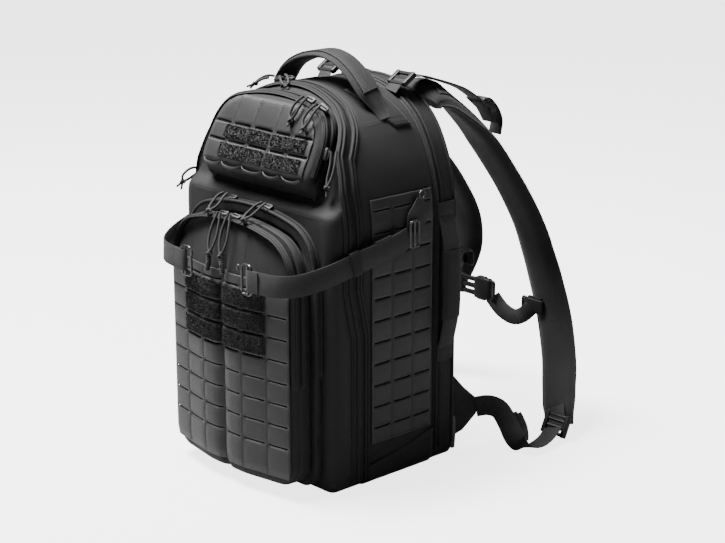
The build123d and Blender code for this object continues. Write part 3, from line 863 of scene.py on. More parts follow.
def outer_pocket():
    gap = 0.2 + 2.3 * np.clip((LOWER[0][:, 1] - LOWER_HINGE_Z - 2) / 6, 0, 1)
    rows = rounded_front(LOWER, lower_face, LOWER_ZIP_Y - gap, 7.5)
    face = fan(rows[-1], (0, 160), lower_face, 30, 0.5, 5.0)
    front = make("outer_pocket_front", grid(np.concatenate([rows, face[1:]]), closed=True), PACK,
                 "pack_fabric", solid=1.8)
    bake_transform(front)
    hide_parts("lower_pocket_flap")
    side = band(LOWER, lambda z: (LOWER_ZIP_Y + gap, 0 * z + ORGANISER_FRONT - 0.6), 1.4, 6, 7.0)
    put("outer_pocket_gusset", grid(side, closed=True), PACK, "pack_fabric", "lower_pocket",
        "lower_pocket_shell", solid=2.0)

    slots = [63 + MOLLE_PITCH * k for k in range(8)]
    columns = [-103, -70, -34, 0, 34, 70, 103]
    panel, sewn = slotted("outer_pocket_panel", columns, slots, pocket_surface, 26, 252)
    for piece in (panel, sewn):
        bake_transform(piece)
    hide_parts("front_panel_lower", "front_panel_upper")

    for x in (-70, -36, 36, 70):
        z = np.linspace(253, 297 - abs(x) * 0.35, 24)
        lane = pocket_surface(x * (1 - (z - 253) / 260), z, -1.1)
        up = pocket_surface(x * (1 - (z - 253) / 260), z, 0.0) - lane
        put("dome_seam_%d" % x, stitches(lane, up), THREAD, "pack_fabric", "lower_flap")
    path, normals = along_outline(LOWER, LOWER_HINGE_Z, lambda z: 0 * z + LOWER_ZIP_Y, 0.2)
    zip_half("outer_zip_front_half", path, normals, -1, "lower_flap", [], rib=3.6, width=6)
    zip_half("outer_zip_rear_half", path, normals, 1, "lower_pocket", ["lower_zip"], rib=3.6, width=6)


def organiser():
    side = band(ORGANISER, lambda z: (0 * z + ORGANISER_FRONT + 0.6, 0 * z + FRONT_FACE - 0.4), 0.5, 4, 9.0)
    p, n = ORGANISER
    rim = []
    for inset, y in ((13, -83.6), (9, -84.1), (5, -84.4), (2, -84.6), (0.4, -84.2)):
        q = p - n * inset
        rim.append(np.stack([q[:, 0], np.full(len(q), y), q[:, 1]], 1))
    put("organiser_wall", grid(np.concatenate([rim, side]), closed=True), PACK, "pack_fabric",
        "clamshell_front", "organiser_gusset", solid=1.2)
    path, normals = along_outline(ORGANISER, 143, lambda z: 0 * z - 80, 0.3)
    ribs = [sweep(path + (0, shift, 0) + normals * rise, normals, ring(radius, 10))
            for shift, rise, radius in ((-3.6, 0.9, 1.9), (3.4, 0.9, 1.9), (0, 0.2, 1.4))]
    put("organiser_piping", merged(ribs), TAPE, "zip_tape", "clamshell_front")
    put("organiser_teeth", coil(path + normals * 0.9, normals, 1), TEETH, "zip_tape", "clamshell_front")
    # shelf seam above the pockets
    x = np.linspace(-108, 108, 90)
    seam = np.stack([x, 0 * x - 75.4, 0 * x + SHELF + 2.0], 1)
    put("shelf_stitches", stitches(seam, (0, -0.8, 0.6)), THREAD, "pack_fabric", "clamshell_front")


outer_pocket()
organiser()


# ---- sewn-on layers ----
def pile(name, x0, x1, z0, z1, surface, body, *nodes):
    """Loop tape: a soft slab with hundreds of small standing loops and a stitched border."""
    x, z = np.meshgrid(np.linspace(x0, x1, int((x1 - x0) / 1.5)), np.linspace(z0, z1, int((z1 - z0) / 1.5)))
    edge = np.min([x - x0, x1 - x, z - z0, z1 - z], axis=0)
    rise = 2.1 * (1 - np.exp(-edge / 0.9)) + 0.14 * noise3(np.stack([x, 0 * x, z], -1), 1.2)
    slab = grid(surface(x, z, rise))
    count = int((x1 - x0) * (z1 - z0) * 1.1)
    a, b = RNG.uniform(x0 + 1, x1 - 1, count), RNG.uniform(z0 + 1, z1 - 1, count)
    turn, tall = RNG.uniform(0, math.pi, count), RNG.uniform(0.5, 1.3, count)
    dx, dz = 0.65 * np.cos(turn), 0.65 * np.sin(turn)
    corners = [surface(a - dx, b - dz, 1.8 + 0 * a), surface(a - dx * 0.6, b - dz * 0.6, 2.0 + tall),
               surface(a + dx * 0.6, b + dz * 0.6, 2.0 + tall), surface(a + dx, b + dz, 1.8 + 0 * a)]
    loops = (np.stack(corners, 1).reshape(-1, 3), [tuple(range(4 * i, 4 * i + 4)) for i in range(count)],
             np.zeros((4 * count, 2)))
    put(name, merged([slab, loops]), PILE, "loop_tape", body, *nodes)
    t = np.array([(x0, z0), (x1, z0), (x1, z1), (x0, z1), (x0, z0)], float)
    t += np.array([(1, 1), (-1, 1), (-1, -1), (1, -1), (1, 1)]) * 1.6
    line = smooth_line(t)
    seam = surface(line[:, 0], line[:, 1], np.full(len(line), 2.2))
    up = surface(line[:, 0], line[:, 1], np.full(len(line), 3.2)) - seam
    put(name + "_stitches", stitches(seam, up), THREAD, "loop_tape", body)


def smooth_line(points, step=2.0):
    """Evenly spaced points along straight runs."""
    out = []
    for a, b in zip(points, points[1:]):
        out += [a + (b - a) * t for t in np.linspace(0, 1, max(2, int(np.linalg.norm(b - a) / step)),
                                                     endpoint=False)]
    return np.array(out + [points[-1]])


def ribbon(points, across, width, thick, step=3.0):
    """A flat strap through a few points, its width along the given direction."""
    path = smooth_path(points, step)
    across = np.atleast_2d(np.asarray(across, float))
    at = np.linspace(0, len(across) - 1, len(path))
    wide = sampled(at, np.arange(len(across)), across)
    return path, sweep(path, np.cross(tangents(path), wide), flat_profile(width, thick))


def webbing_strap(name, points, across, width, thick, body, *nodes, material=None, slot="webbing"):
    strap = make(name, ribbon(points, across, width, thick)[1], material or WEBBING, slot)
    if body:
        place(strap, body, *nodes)
    return strap


for low in (166.5, 192, 217.5):
    for x0, x1 in ((-70, -3), (3, 70)):
        first = low == 166.5 and x0 < 0
        pile("loop_%d_%d" % (low, x0 > 0), x0, x1, low, low + 22, pocket_surface, "lower_flap",
             *(["lower_loop_strips"] if first else []))


# ---- upper pocket ----
def upper_zip_y(z):
    return np.interp(z, [337, 345, 358, 445], [-60, -66, -67.5, -27])


def upper_face(x, z):
    x, z = np.asarray(x, float), np.asarray(z, float)
    y = np.interp(z, [330, 337, 346, 353, 358, 364, 372, 424, 432, 440, 446],
                  [-59, -61, -70, -77, -79, -79.5, -77, -50, -45.5, -39, -33])
    y = y + 3.0 * (np.abs(x) / 95) ** 3
    return y - 1.6 * np.exp(-((np.abs(x) - 40) / 30) ** 2) * np.clip((z - 350) / 15, 0, 1)


upper_surface = over(upper_face, UPPER, 9)


def upper_pocket():
    heights = UPPER[0][:, 1]
    gap = 0.2 + 2.3 * np.clip((heights - 359) / 6, 0, 1)
    rows = rounded_front(UPPER, upper_face, upper_zip_y(heights) - gap, 9)
    face = fan(rows[-1], (0, 392), upper_face, 36, 0.5, 11.0)
    front = make("upper_pocket_front", grid(np.concatenate([rows, face[1:]]), closed=True), PACK,
                 "pack_fabric", solid=1.8)
    panel, sewn = slotted("upper_pocket_panel", [-88, -50, -15, 23, 53, 88], [385, 404], upper_surface,
                          362, 435, puff=1.3, gap=1.5, skip=lambda x, z: abs(x) > side_x(z, UPPER) - 3)
    for piece in (front, panel, sewn):
        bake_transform(piece)
    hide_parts("upper_pocket_flap")
    side = band(UPPER, lambda z: (upper_zip_y(z) + gap, front_y(z) + 0.8), 0.5, 5, 13.0)
    put("upper_pocket_gusset", grid(side, closed=True), PACK, "pack_fabric", "clamshell_front",
        "upper_pocket_shell", solid=2.0)
    path, normals = along_outline(UPPER, 362, upper_zip_y, 0.2)
    zip_half("upper_zip_front_half", path, normals, -1, "upper_flap", [], rib=3.2, width=5.5)
    zip_half("upper_zip_rear_half", path, normals, 1, "clamshell_front", ["upper_zip"], rib=3.2, width=5.5)
    for z0, z1 in ((367, 383), (387.5, 402.5)):
        for x0, x1 in ((-58, 20), (23, 80)):
            first = z0 == 367 and x0 < 0
            pile("upper_loop_%d_%d" % (z0, x0 > 0), x0, x1, z0, z1, upper_surface, "upper_flap",
                 *(["upper_loop_strips"] if first else []))
    # hanging webbing hem with open bights, under the panel
    for x0, x1 in ((-82, -52), (-48, -17), (-13, 21), (25, 51), (55, 84)):
        mid = (x0 + x1) / 2
        y = float(upper_face(mid, 362))
        route = [(x0, y - 1.8, 362), (x0 + 4, y - 3.2, 359.5), (mid, y - 3.8, 358.2),
                 (x1 - 4, y - 3.2, 359.5), (x1, y - 1.8, 362)]
        webbing_strap("hem_bight_%d" % x0, route, (0, -0.35, 1), 3.6, 1.2, "upper_flap",
                      material=LAMINATE, slot="laminate")


upper_pocket()


# ---- base boot ----
def base_boot():
    p, n = BODY
    rows = []
    for y in np.linspace(-22, 81, 22):
        seam = np.interp(y, [-22, -18, 14, 47, 83], [28, 29, 33, 40, 49])
        low = p[:, 1] < 60
        order = np.argsort(np.unwrap(np.arctan2(p[low][:, 0], 60 - p[low][:, 1])))
        q, m = p[low][order], n[low][order]
        run = distances(q)
        cut = np.interp(seam, q[len(q) // 2:, 1], run[len(q) // 2:])
        at = np.linspace(run[-1] - cut, cut, 90)
        x, z = np.interp(at, run, q[:, 0]), np.interp(at, run, q[:, 1])
        out = np.stack([np.interp(at, run, m[:, 0]), 0 * at, np.interp(at, run, m[:, 1])], 1)
        here = np.stack([x, np.full(90, y), z], 1)
        side = np.clip((z - 3) / 14, 0, 1)
        rows.append(here + out * (1.35 + side * (1.4 + 0.7 * noise3(here, 22.0, 15.0)))[:, None])
    put("base_boot_cloth", grid(rows), BOOT, "boot_fabric", "pack_body", "base_boot", solid=1.2)
    rows = np.array(rows)
    for k in (3, -4):
        lane = rows[:, k]
        put("boot_stitches_%d" % (k > 0), stitches(lane, np.array([np.sign(lane[0][0]), 0, 0.0])), THREAD,
            "boot_fabric", "pack_body")


base_boot()


# ---- handle ----
def rounded_ring(centre, axis_a, axis_b, a, b, corner, count=4):
    """Points round a rounded rectangle of full size a by b."""
    axis_a, axis_b = np.array(axis_a, float), np.array(axis_b, float)
    out = []
    for sign_a, sign_b, start in ((1, 1, 0), (-1, 1, 90), (-1, -1, 180), (1, -1, 270)):
        for t in np.radians(np.linspace(start, start + 90, count)):
            out.append(np.array(centre) + axis_a * (sign_a * (a / 2 - corner) + corner * math.cos(t))
                       + axis_b * (sign_b * (b / 2 - corner) + corner * math.sin(t)))
    ring_points = np.array(out)
    return smooth_line(np.vstack([ring_points, ring_points[:1]]), 1.5)[:-1]


def carry_handle():
    """A padded grip whose flattened ends run down the arch and under their patches."""
    grip = [(-92, 43, 415.5), (-86, 42, 421.5), (-78, 39, 433), (-67, 35, 449), (-51, 34, 463),
            (-30, 34, 473), (-8, 34, 478.5), (12, 34, 479.5), (34, 34, 474), (54, 34, 462), (68, 35, 448),
            (78, 39, 433), (86, 42, 421.5), (92, 43, 415.5)]
    path = smooth_path(grip, 3)
    size = np.interp(np.linspace(0, 1, len(path)), [0, 0.06, 0.15, 0.85, 0.94, 1], [0.5, 0.6, 1, 1, 0.6, 0.5])
    up = np.cross(tangents(path), Y)
    cloth = make("handle_cloth", sweep(path, up, pad_profile(36, 8.5, 3.2), scale=size), PAD, "pad_fabric")
    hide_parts("carry_handle")
    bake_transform(cloth)
    lift = unit(up) * (1 if unit(up)[len(up) // 2][2] > 0 else -1)
    full = slice(int(0.16 * len(path)), -int(0.16 * len(path)))
    for y in (-10.5, 10.5):
        lane = path[full] + (0, y, 0) + lift[full] * 3.9
        put("handle_stitches_%d" % (y > 0), stitches(lane, lift[full]), THREAD, "pad_fabric", "grab_handle")
    top = path[full] + lift[full] * 4.6
    put("handle_webbing", sweep(top, up[full], flat_profile(25, 1.6)), WEBBING, "webbing", "grab_handle")


def handle_patches():
    p, n = BODY
    for side in (1, -1):
        keep = (p[:, 0] * side > 40) & (p[:, 1] > 404)
        q, m = p[keep], n[keep]
        order = np.argsort(q[:, 1])
        q, m = q[order], m[order]
        front_edge = np.interp(q[:, 1], [404, 425, 446], [50, 31, 23])
        rear_edge = np.interp(q[:, 1], [404, 446], [74, 60])
        rows = []
        for share in np.linspace(0, 1, 12):
            y = front_edge * (1 - share) + rear_edge * share
            edge = min(share, 1 - share)
            rows.append(np.stack([q[:, 0], y, q[:, 1]], 1)
                        + np.stack([m[:, 0], 0 * y, m[:, 1]], 1) * (2.2 + 0.9 * (1 - math.exp(-edge / 0.05))))
        rows = np.array(rows)
        put("handle_patch_%s" % ("right" if side > 0 else "left"), grid(rows), BOOT, "pack_fabric",
            "pack_body", *from_right(side, "handle_patches"), solid=1.0)
        normals = np.stack([m[:, 0], 0 * m[:, 0], m[:, 1]], 1)
        seams = [stitches(rows[1] + normals * 0.3, normals), stitches(rows[-2] + normals * 0.3, normals),
                 stitches(rows[:, 2] + normals[2] * 0.4, normals[2]),
                 stitches(rows[:, 4] + normals[4] * 0.4, normals[4])]
        put("patch_stitches_%d" % side, merged(seams), THREAD, "pack_fabric", "pack_body")


carry_handle()
handle_patches()


# ---- compression straps ----
def compression(side, word):
    flip = np.array([side, 1, 1])
    body = "compression_" + word
    route = np.array([(60, -131.6, 254), (84, -130, 254), (104, -125, 255), (119, -113, 257), (130, -92, 262),
                      (136, -68, 268), (139, -40, 275), (140.5, -5, 281), (141, 30, 289)]) * flip
    path, skin = ribbon(route, (0, 0.05, 1), WEB, 1.8)
    put("compression_webbing_" + word, skin, WEBBING, "webbing", body, "compression_strap_" + word)
    out = np.cross(tangents(path), (0, 0.05, 1))
    run = len(path)
    for start, end, thick in ((0.60, 0.67, 6.0), (0.77, 0.90, 5.0)):
        part = path[int(run * start):int(run * end)]
        wrap = sweep(part, out[int(run * start):int(run * end)], flat_profile(WEB + 4, thick))
        put("strap_keeper_%s_%d" % (word, start * 100), wrap, TAPE, "webbing", body, bevel=0.4)
    tail = path[int(run * 0.66):int(run * 0.97)] + flip * np.array([1.9, 0, 0])
    put("strap_tail_" + word, sweep(tail, out[int(run * 0.66):int(run * 0.97)], flat_profile(WEB, 1.7)),
        WEBBING, "webbing", body)
    centre = np.array([53.5 * side, -131.4, 254])
    frame_ring = rounded_ring(centre, X, Z, 16, 34, 4)
    bars = [tube(frame_ring, 1.5, 8, closed=True),
            tube(smooth_path([centre + (side * 2.5, -0.6, -16), centre + (side * 2.5, -1.2, 0),
                              centre + (side * 2.5, -0.6, 16)]), 1.3),
            tube(smooth_path([centre + (-side * 8, -0.2, 12), centre + (-side * 12, -2.0, 15),
                              centre + (-side * 13, -2.4, 9)], 1), 1.3)]
    put("hook_" + word, merged(bars), METAL, "black_metal", body, "gatekeeper_hook_" + word)
    loop = smooth_path(np.array([(54.5, -130.4, 254), (56, -133.4, 254), (62, -133.9, 254),
                                 (74, -132.6, 254)]) * flip, 1.5)
    put("hook_loop_" + word, sweep(loop, np.cross(tangents(loop), Z), flat_profile(WEB, 1.6)), WEBBING,
        "webbing", body)

    tab = smooth_path(np.array([(137.5, 44, 292), (136.5, 47, 303), (135.5, 52, 317), (135, 56, 330)])
                      * flip, 2)
    size = np.interp(np.linspace(0, 1, len(tab)), [0, 0.45, 1], [1.0, 1.15, 0.42])
    leaf = sweep(tab, flip * X, flat_profile(27, 3.0), scale=size)
    ring_at = np.array([136.2 * side, 57, 334])
    eye = tube(rounded_ring(ring_at, Y, Z, 9, 9, 4.4), 1.0, 8, closed=True)
    put("strap_tab_" + word, leaf, WEBBING, "webbing", "pack_body", *from_right(side, "side_tabs"))
    put("tab_ring_" + word, eye, METAL, "black_metal", "pack_body")
    box_centre = np.array([141 * side, 41, 291.5])
    parts = [tube(rounded_ring(box_centre, Y, Z, 13.5, 30, 3), 1.5, 8, closed=True),
             tube(np.array([box_centre + (0, 0, z) for z in np.linspace(-15, 15, 9)]), 1.4)]
    put("triglide_" + word, merged(parts), METAL, "black_metal", "pack_body",
        *from_right(side, "side_triglides"))


compression(1, "right")
compression(-1, "left")


# ---- rear compartment ----
def rear_compartment():
    side = band(BODY, lambda z: (0 * z + REAR_SEAM + 1.0, 0 * z + REAR_FACE), 1.0, 8, 17.0, lift=-0.3)
    back = fan(side[-1], (0, 220), lambda x, z: 0 * x + REAR_FACE - 0.2, 12)
    put("rear_body", grid(np.concatenate([side, back[1:]]), closed=True), PACK, "pack_fabric",
        "rear_compartment", "rear_shell", solid=2.0)
    path, normals = along_outline(BODY, 20, lambda z: 0 * z + 87.5, 0.4)
    parts = [sweep(path + (0, back_by, 0) + normals * rise, normals, ring(radius, 10))
             for back_by, rise, radius in ((0, 0, 1.9), (6.5, 0.3, 1.6), (27, 0, 2.0))]
    put("rear_piping", merged(parts), TAPE, "zip_tape", "rear_compartment")
    teeth = coil(path + (0, 3.6, 0), normals, 1)
    put("rear_zip_teeth", teeth, TEETH, "zip_tape", "rear_compartment")
    put("rear_stitches", stitches(path + (0, 10.5, 0) + normals * 0.8, normals), THREAD, "pack_fabric",
        "rear_compartment")


def pad_outline(width, height, corner, step=4.0):
    nx, nz = int(width / step), int(height / step)
    u, v = np.meshgrid(np.linspace(-1, 1, nx), np.linspace(-1, 1, nz))
    a, b = width / 2, height / 2
    # square grid eased into a rounded rectangle
    over_x = np.maximum(np.abs(u) * a - (a - corner), 0) / corner
    over_z = np.maximum(np.abs(v) * b - (b - corner), 0) / corner
    reach = np.hypot(over_x, over_z)
    most = np.maximum(over_x, over_z)
    pull_in = np.where(reach > 1e-6, most / np.maximum(reach, 1e-6), 1)
    x = np.sign(u) * (np.minimum(np.abs(u) * a, a - corner) + corner * over_x * pull_in)
    z = np.sign(v) * (np.minimum(np.abs(v) * b, b - corner) + corner * over_z * pull_in)
    rim = (np.abs(u) > 0.999) | (np.abs(v) > 0.999)
    return x, z, rim, np.maximum(np.abs(u), np.abs(v))


def pressed(piece, rim, shape):
    """Cloth, sewn down at its rim and pushed out by the foam under it; returns where its points end."""
    group = piece.vertex_groups.new(name="sewn")
    group.add([int(i) for i in np.flatnonzero(rim.ravel())], 1.0, "ADD")
    cloth = piece.modifiers.new("cloth", "CLOTH")
    settings = cloth.settings
    settings.quality, settings.mass = 6, 0.25
    settings.tension_stiffness = settings.compression_stiffness = 25
    settings.bending_stiffness = 0.6
    settings.use_pressure, settings.uniform_pressure_force = True, 60
    settings.shrink_min = -0.07
    settings.vertex_group_mass = "sewn"
    settings.effector_weights.gravity = 0.0
    cloth.point_cache.frame_start, cloth.point_cache.frame_end = 1, 26
    scene = bpy.context.scene
    for number in range(1, 27):
        scene.frame_set(number)
    ready = piece.evaluated_get(bpy.context.evaluated_depsgraph_get())
    points = np.array([v.co[:] for v in ready.data.vertices]) / MM
    piece.modifiers.remove(cloth)
    piece.vertex_groups.remove(group)
    scene.frame_set(1)
    return points.reshape(*shape, 3)


def back_pad(name, x0, x1, z0, z1, corner, deep, *nodes):
    x, z, rim, out = pad_outline(x1 - x0, z1 - z0, corner)
    x, z = x + (x0 + x1) / 2, z + (z0 + z1) / 2
    base = REAR_FACE + 1.2
    rise = (1 - np.clip(out, 0, 1) ** 4) ** 0.55
    start = np.stack([x, base + 0.4 * rise, z], -1)
    trial = make(name + "_trial", grid(start[:, ::-1]), MESH, "pad_fabric")
    moved = pressed(trial, rim[:, ::-1], x.shape)[:, ::-1]
    bpy.data.objects.remove(trial)
    height = np.abs(moved[..., 1] - base)
    if height.max() > 0.5:
        rise = 0.45 * rise + 0.55 * height / height.max()
    ribs = 0.6 * np.cos((z - z0) * 2 * math.pi / 21) * rise
    points = np.stack([x, base + (deep - 1.6) * rise + ribs * (rise > 0.5), z], -1)
    pad = make(name, grid(points[:, ::-1]), MESH, "pad_fabric")
    place(pad, "rear_compartment", *nodes)
    edge = np.concatenate([points[0, :-1], points[:-1, -1], points[-1, :0:-1], points[:0:-1, 0]])
    border = sweep(edge + (0, 0.4, 0), Y, flat_profile(5.0, 2.2), closed=True)
    put(name + "_binding", border, TAPE, "pad_fabric", "rear_compartment")


rear_compartment()
back_pad("pad_upper_right", 12, 104, 215, 395, 24, 12, "back_pads")
back_pad("pad_upper_left", -104, -12, 215, 395, 24, 12)
back_pad("pad_middle_right", 12, 104, 130, 205, 18, 12)
back_pad("pad_middle_left", -104, -12, 130, 205, 18, 12)
back_pad("pad_lumbar", -104, 104, 30, 120, 24, 15)


# ---- side handles and wings ----
def plate(outline, x_at, thick, side):
    """A stitched leaf of cloth that faces sideways, from its outline in (y, z)."""
    line = smooth_line(np.array([*outline, outline[0]], float), 3)[:-1]
    middle = line.mean(0)
    rows = []
    for shrink, height in ((1.0, -thick / 2), (1.012, 0.0), (1.0, thick / 2), (0.93, thick / 2 + 0.5),
                           (0.6, thick / 2 + 1.4), (0.02, thick / 2 + 1.8)):
        q = middle + (line - middle) * shrink
        rows.append(np.stack([np.full(len(q), (x_at + height) * side), q[:, 0], q[:, 1]], 1))
    under = middle + (line - middle) * 0.02
    rows.insert(0, np.stack([np.full(len(q), (x_at - thick / 2) * side), under[:, 0], under[:, 1]], 1))
    inner = middle + (line - middle) * 0.9
    seam = np.stack([np.full(len(q), (x_at + thick / 2 + 0.8) * side), inner[:, 0], inner[:, 1]], 1)
    return grid(rows, closed=True), stitches(seam, np.array([side, 0, 0.0]))


def side_pieces(side, word):
    grab = np.array([(132.5, 99, 143), (137, 99, 156), (143, 99, 185), (144, 99, 225), (143, 99, 262),
                     (137, 99, 290), (132.5, 99, 303)])
    grab = grab * (side, 1, 1)
    path, skin = ribbon(grab, Y, 25, 3.2)
    put("side_handle_" + word, skin, WEBBING, "webbing", "rear_compartment",
        *from_right(side, "side_handles"))
    mid = path[len(path) // 4:-len(path) // 4]
    sleeve = sweep(mid, np.cross(tangents(mid), Y), pad_profile(28, 6.5, 2.6))
    put("side_grip_" + word, sleeve, PAD, "pad_fabric", "rear_compartment")
    for low, high in ((128, 150), (296, 318)):
        end = [(132.6 * side, 99, low), (133.4 * side, 99, (low + high) / 2), (132.6 * side, 99, high)]
        webbing_strap("side_handle_end_%s_%d" % (word, low), end, Y, 26, 2.2, "rear_compartment",
                      material=BOOT)
    leaf, seam = plate([(115.6, 108), (140, 82), (163, 62), (168, 52), (163, 42), (140, 27), (115.6, 22)],
                       124.5, 2.6, side)
    put("wing_" + word, leaf, PAD, "pack_fabric", "rear_compartment", *from_right(side, "wing_tabs"),
        sharp=60)
    put("wing_stitches_" + word, seam, THREAD, "pack_fabric", "rear_compartment")
    bar = smooth_path([(130 * side, 118.5, 11), (130.6 * side, 119, 30), (130 * side, 118.5, 51)], 2)
    tab = sweep(bar, (side, 0, 0), flat_profile(6.5, 2.4))
    put("wing_loop_" + word, tab, BINDING, "webbing", "rear_compartment")


side_pieces(1, "right")
side_pieces(-1, "left")


# ---- shoulder straps ----
RIGHT_STRAP = [(72, 120, 426), (72, 131, 432), (73, 149, 426), (75, 180, 401), (77, 210, 372),
               (79, 243, 332), (82, 272, 291), (85, 298, 246), (89, 310, 212), (98, 315, 179),
               (116, 314, 130), (137, 301, 84), (155, 282, 50), (165, 271, 31), (169, 267.5, 14)]
LEFT_STRAP = [(-72, 120, 426), (-71, 131, 432), (-70, 149, 426), (-69, 182, 402), (-67, 220, 372),
              (-65, 262, 332), (-60, 296, 291), (-55, 322, 246), (-53, 330, 212), (-60, 332, 179),
              (-85, 326, 130), (-117, 307, 84), (-148, 284, 50), (-162, 271, 31), (-168, 267.5, 14)]


def bars(centre, lean, width, height, gaps, thick, rail_width):
    """A moulded frame with cross bars: side rails and rounded bars, leaned back about X."""
    turn = math.radians(lean)
    up = np.array([0, -math.sin(turn), math.cos(turn)])
    out = np.array([0, math.cos(turn), math.sin(turn)])
    centre = np.array(centre, float)
    parts = [block(centre + np.array([s * (width / 2 - 1.6), 0, 0]), up, X, out,
                   (height, rail_width + 0.6, thick)) for s in (-1, 1)]
    for at in gaps:
        reach = np.linspace(-width / 2 + 1.5, width / 2 - 1.5, 7)
        rail = np.array([centre + up * at + (x, 0, 0) for x in reach])
        parts.append(sweep(rail, out, flat_profile(rail_width, thick * 0.8)))
    return merged(parts)


def shoulder(side, word, points):
    body = "shoulder_" + word
    path = smooth_path(points, 4)
    share = np.linspace(0, 1, len(path))
    tilt = np.radians(np.interp(share, [0, 0.05, 0.24], [32, 30, 0]))
    wide = np.stack([np.cos(tilt), 0 * tilt, -side * np.sin(tilt)], 1)
    up = np.cross(tangents(path), wide)
    size = np.interp(share, [0, 0.05, 0.7, 0.93, 1], [0.92, 1.0, 1.0, 0.86, 0.8])
    pad = make("strap_" + word, sweep(path, up, pad_profile(56, 15.5, 4.5), scale=size), PAD, "pad_fabric")
    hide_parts("strap_pad_" + word)
    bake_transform(pad)
    outward = unit(up)
    outward = outward * np.where(outward[len(path) // 3][1] > 0, 1, -1)
    web = path[4:-2] + outward[4:-2] * (8.3 * size[4:-2])[:, None]
    put("strap_webbing_" + word, sweep(web, up[4:-2], flat_profile(WEB, 1.7)), WEBBING, "webbing", body)
    lanes = []
    for across in (-21.5, 21.5):
        lane = path + wide * (across * size)[:, None] + outward * (6.2 * size)[:, None]
        lanes.append(stitches(lane[2:-2], outward[2:-2]))
    put("strap_stitches_" + word, merged(lanes), THREAD, "pad_fabric", body)
    for at in (0.3, 0.47, 0.62, 0.8):
        k = int(at * len(path))
        bar = [path[k] + outward[k] * (9.6 * size[k]) + (x, 0, 0) for x in (-14, 0, 14)]
        run = tangents(path)[k]
        put("strap_bartack_%s_%d" % (word, at * 100), ribbon(bar, run, 7, 1.6, 2)[1], WEBBING, "webbing",
            body)

    lock = bars((side * 174, 256, 17), -25, 34, 28, (-11.0, -3, 5, 11.0), 7.4, 5.4)
    put("ladder_" + word, lock, PLASTIC, "buckle_plastic", body, "ladder_lock_" + word)
    foot = mirrored(side, [(166, 264, 36), (171, 260, 28), (174, 257, 20), (175, 253, 11)])
    webbing_strap("strap_foot_" + word, foot, X, 24, 2.6, body)

    buckle = bars((side * 77, 214, 409.5), 52, 28, 26, (-11, -2, 4.5, 11), 4.8, 4.0)
    put("lifter_buckle_body_" + word, buckle, PLASTIC, "buckle_plastic", body, "lifter_buckle_" + word)
    base = mirrored(side, [(77, 229, 386), (77, 221, 398), (77, 211, 411)])
    webbing_strap("lifter_base_" + word, base, X, 22, 2.4, body)
    tail = mirrored(side, [(77, 207, 416), (78, 219, 416), (79, 232, 403), (79.5, 239, 387), (79, 237, 370)])
    webbing_strap("lifter_tail_" + word, tail, X, 20, 1.7, body)
    anchor = bars((side * 61, 97, 451.5), -58, 27, 21, (-8.5, 0, 8.5), 6.5, 5.0)
    put("lifter_anchor_buckle_" + word, anchor, PLASTIC, "buckle_plastic", "rear_compartment")

    lifter = mirrored(side, [(58, 82, 438), (60, 89, 446), (62, 100, 452.5), (66, 118, 453),
                             (70, 134, 448.5), (75, 156, 441), (76, 180, 431.5), (77, 206, 415.5)])
    web = webbing_strap("lifter_" + word, lifter, X, 20, 1.8, None)
    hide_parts("lifter_web_" + word, *from_right(side, "lifter_anchors"))
    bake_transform(web)

    lower = mirrored(side, [(128, 160, 52), (139, 171, 54), (150, 179, 49), (161, 182, 34),
                            (172, 182, 19), (182, 187, 9.5), (187, 201, 7), (184, 224, 9),
                            (177, 247, 15)])
    facing = mirrored(side, [(-0.1, 0.1, 1), (-0.1, 0.2, 1), (0.5, 0.5, 0.8), (0.8, 0.6, 0.2),
                             (0.8, 0.5, 0.15), (0.85, 0.1, 0.2), (0.9, -0.3, 0.1), (0.95, -0.1, 0.15),
                             (1, 0, 0.2)])
    web = webbing_strap("lower_web_" + word, lower, facing, 25, 2.0, None)
    if side > 0:
        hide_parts("lower_webs")
    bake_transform(web)
    fold = mirrored(side, [(157, 186, 43), (164, 190, 27), (173, 190, 13), (167, 194, 26), (159, 192, 41)])
    roll = webbing_strap("lower_tail_" + word, fold, (side * 0.75, 0.5, 0.4), 24, 1.8, None)
    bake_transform(roll)


shoulder(1, "right", RIGHT_STRAP)
shoulder(-1, "left", LEFT_STRAP)


def sternum():
    right = [(88, 302, 138), (82, 292, 129), (72, 286, 126), (58, 280, 134), (46, 275, 149)]
    webbing_strap("sternum_right", right, (0, 0.3, 1), 20, 1.8, "shoulder_right", "sternum_web_right")
    left = [(-15, 275, 157), (-24, 284, 162), (-34, 298, 168), (-42, 314, 175)]
    webbing_strap("sternum_left", left, (0, 0.3, 1), 20, 1.8, "shoulder_left", "sternum_web_left")
    socket = [block((31, 274, 157), X, Z, Y, (26, 28, 10)),
              block((29, 274, 157), X, Z, Y, (14, 31, 7)),
              tube(rounded_ring((46, 274, 157), X, Z, 7, 24, 2.5), 1.7, 8, closed=True)]
    put("sternum_socket_body", merged(socket), PLASTIC, "buckle_plastic", "shoulder_right", "sternum_socket")
    for side, word, at in ((1, "right", (90, 304.5, 141)), (-1, "left", (-44, 316, 177))):
        clip = [block(at, X, Z, Y, (30, 17, 6)), block((at[0], at[1] + 2, at[2]), X, Z, Y, (22, 22, 4)),
                tube(rounded_ring((at[0] - side * 14, at[1] - 1.5, at[2]), X, Z, 7, 18, 2.5), 1.6, 8,
                     closed=True)]
        put("sternum_clip_" + word, merged(clip), PLASTIC, "buckle_plastic", "shoulder_" + word)
    prongs = [block((4.5, 274, 157 + z), X, Z, Y, (26, 5.5, 6)) for z in (-9, 0, 9)]
    prongs += [block((-6, 274, 157), X, Z, Y, (9, 25, 7)),
               tube(rounded_ring((-13, 274, 157), X, Z, 7, 24, 2.5), 1.7, 8, closed=True)]
    put("sternum_plug_body", merged(prongs), PLASTIC, "buckle_plastic", "shoulder_left", "sternum_plug")


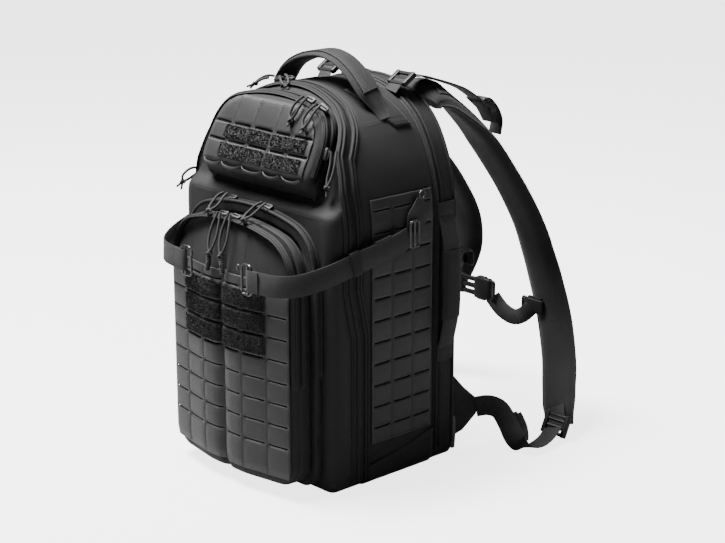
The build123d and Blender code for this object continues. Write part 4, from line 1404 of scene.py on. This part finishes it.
sternum()


# ---- inside ----
dress(LINING, "lining", "divider_panel", "organiser_sleeve", "hydration_sleeve")
dress(FRAME_PLASTIC, "frame_plastic", "frame_sheet")
dress(ALUMINIUM, "stay_aluminium", "frame_stays")


# ---- floor and light ----
FLOOR_GLOW, BACKDROP_GLOW, ROOM_FILL = 3.2, 4.6, 0.05
SOFT_BOXES = [((-0.55, -0.45, 2.4), 1.0, 480), ((1.5, 1.2, 1.6), 0.9, 9), ((1.6, -1.6, 1.2), 0.9, 2)]


def studio():
    mesh = bpy.data.meshes.new("floor")
    mesh.from_pydata([(-6, -6, 0), (6, -6, 0), (6, 6, 0), (-6, 6, 0)], [], [(0, 1, 2, 3)])
    floor = bpy.data.objects.new("floor", mesh)
    bpy.context.scene.collection.objects.link(floor)
    n = Nodes("pale_floor")
    n.fixed(Base_Color=(0.3, 0.3, 0.3, 1), Roughness=0.95, Specular_IOR_Level=0.0,
            Emission_Color=(1, 1, 1, 1))
    seen_only = n.math("MULTIPLY", n.add("ShaderNodeLightPath").outputs["Is Camera Ray"], value=FLOOR_GLOW)
    n.tree.links.new(seen_only, n.shader.inputs["Emission Strength"])
    mesh.materials.append(n.material)
    world = bpy.data.worlds.new("studio")
    world.use_nodes = True
    tree = world.node_tree
    fill = tree.nodes["Background"]
    fill.inputs["Color"].default_value = (1, 1, 1, 1)
    fill.inputs["Strength"].default_value = ROOM_FILL
    seen = tree.nodes.new("ShaderNodeBackground")
    seen.inputs["Color"].default_value = (1, 1, 1, 1)
    seen.inputs["Strength"].default_value = BACKDROP_GLOW
    mix, path = tree.nodes.new("ShaderNodeMixShader"), tree.nodes.new("ShaderNodeLightPath")
    tree.links.new(path.outputs["Is Camera Ray"], mix.inputs[0])
    tree.links.new(fill.outputs[0], mix.inputs[1])
    tree.links.new(seen.outputs[0], mix.inputs[2])
    tree.links.new(mix.outputs[0], tree.nodes["World Output"].inputs["Surface"])
    bpy.context.scene.world = world
    for place_at, size, power in SOFT_BOXES:
        data = bpy.data.lights.new("soft_box", "AREA")
        data.shape, data.size, data.energy = "SQUARE", size, power
        lamp = bpy.data.objects.new("soft_box", data)
        bpy.context.scene.collection.objects.link(lamp)
        lamp.location = place_at
        lamp.rotation_euler = (Vector((0, 0, 0.25)) - Vector(place_at)).to_track_quat("-Z", "Y").to_euler()


studio()
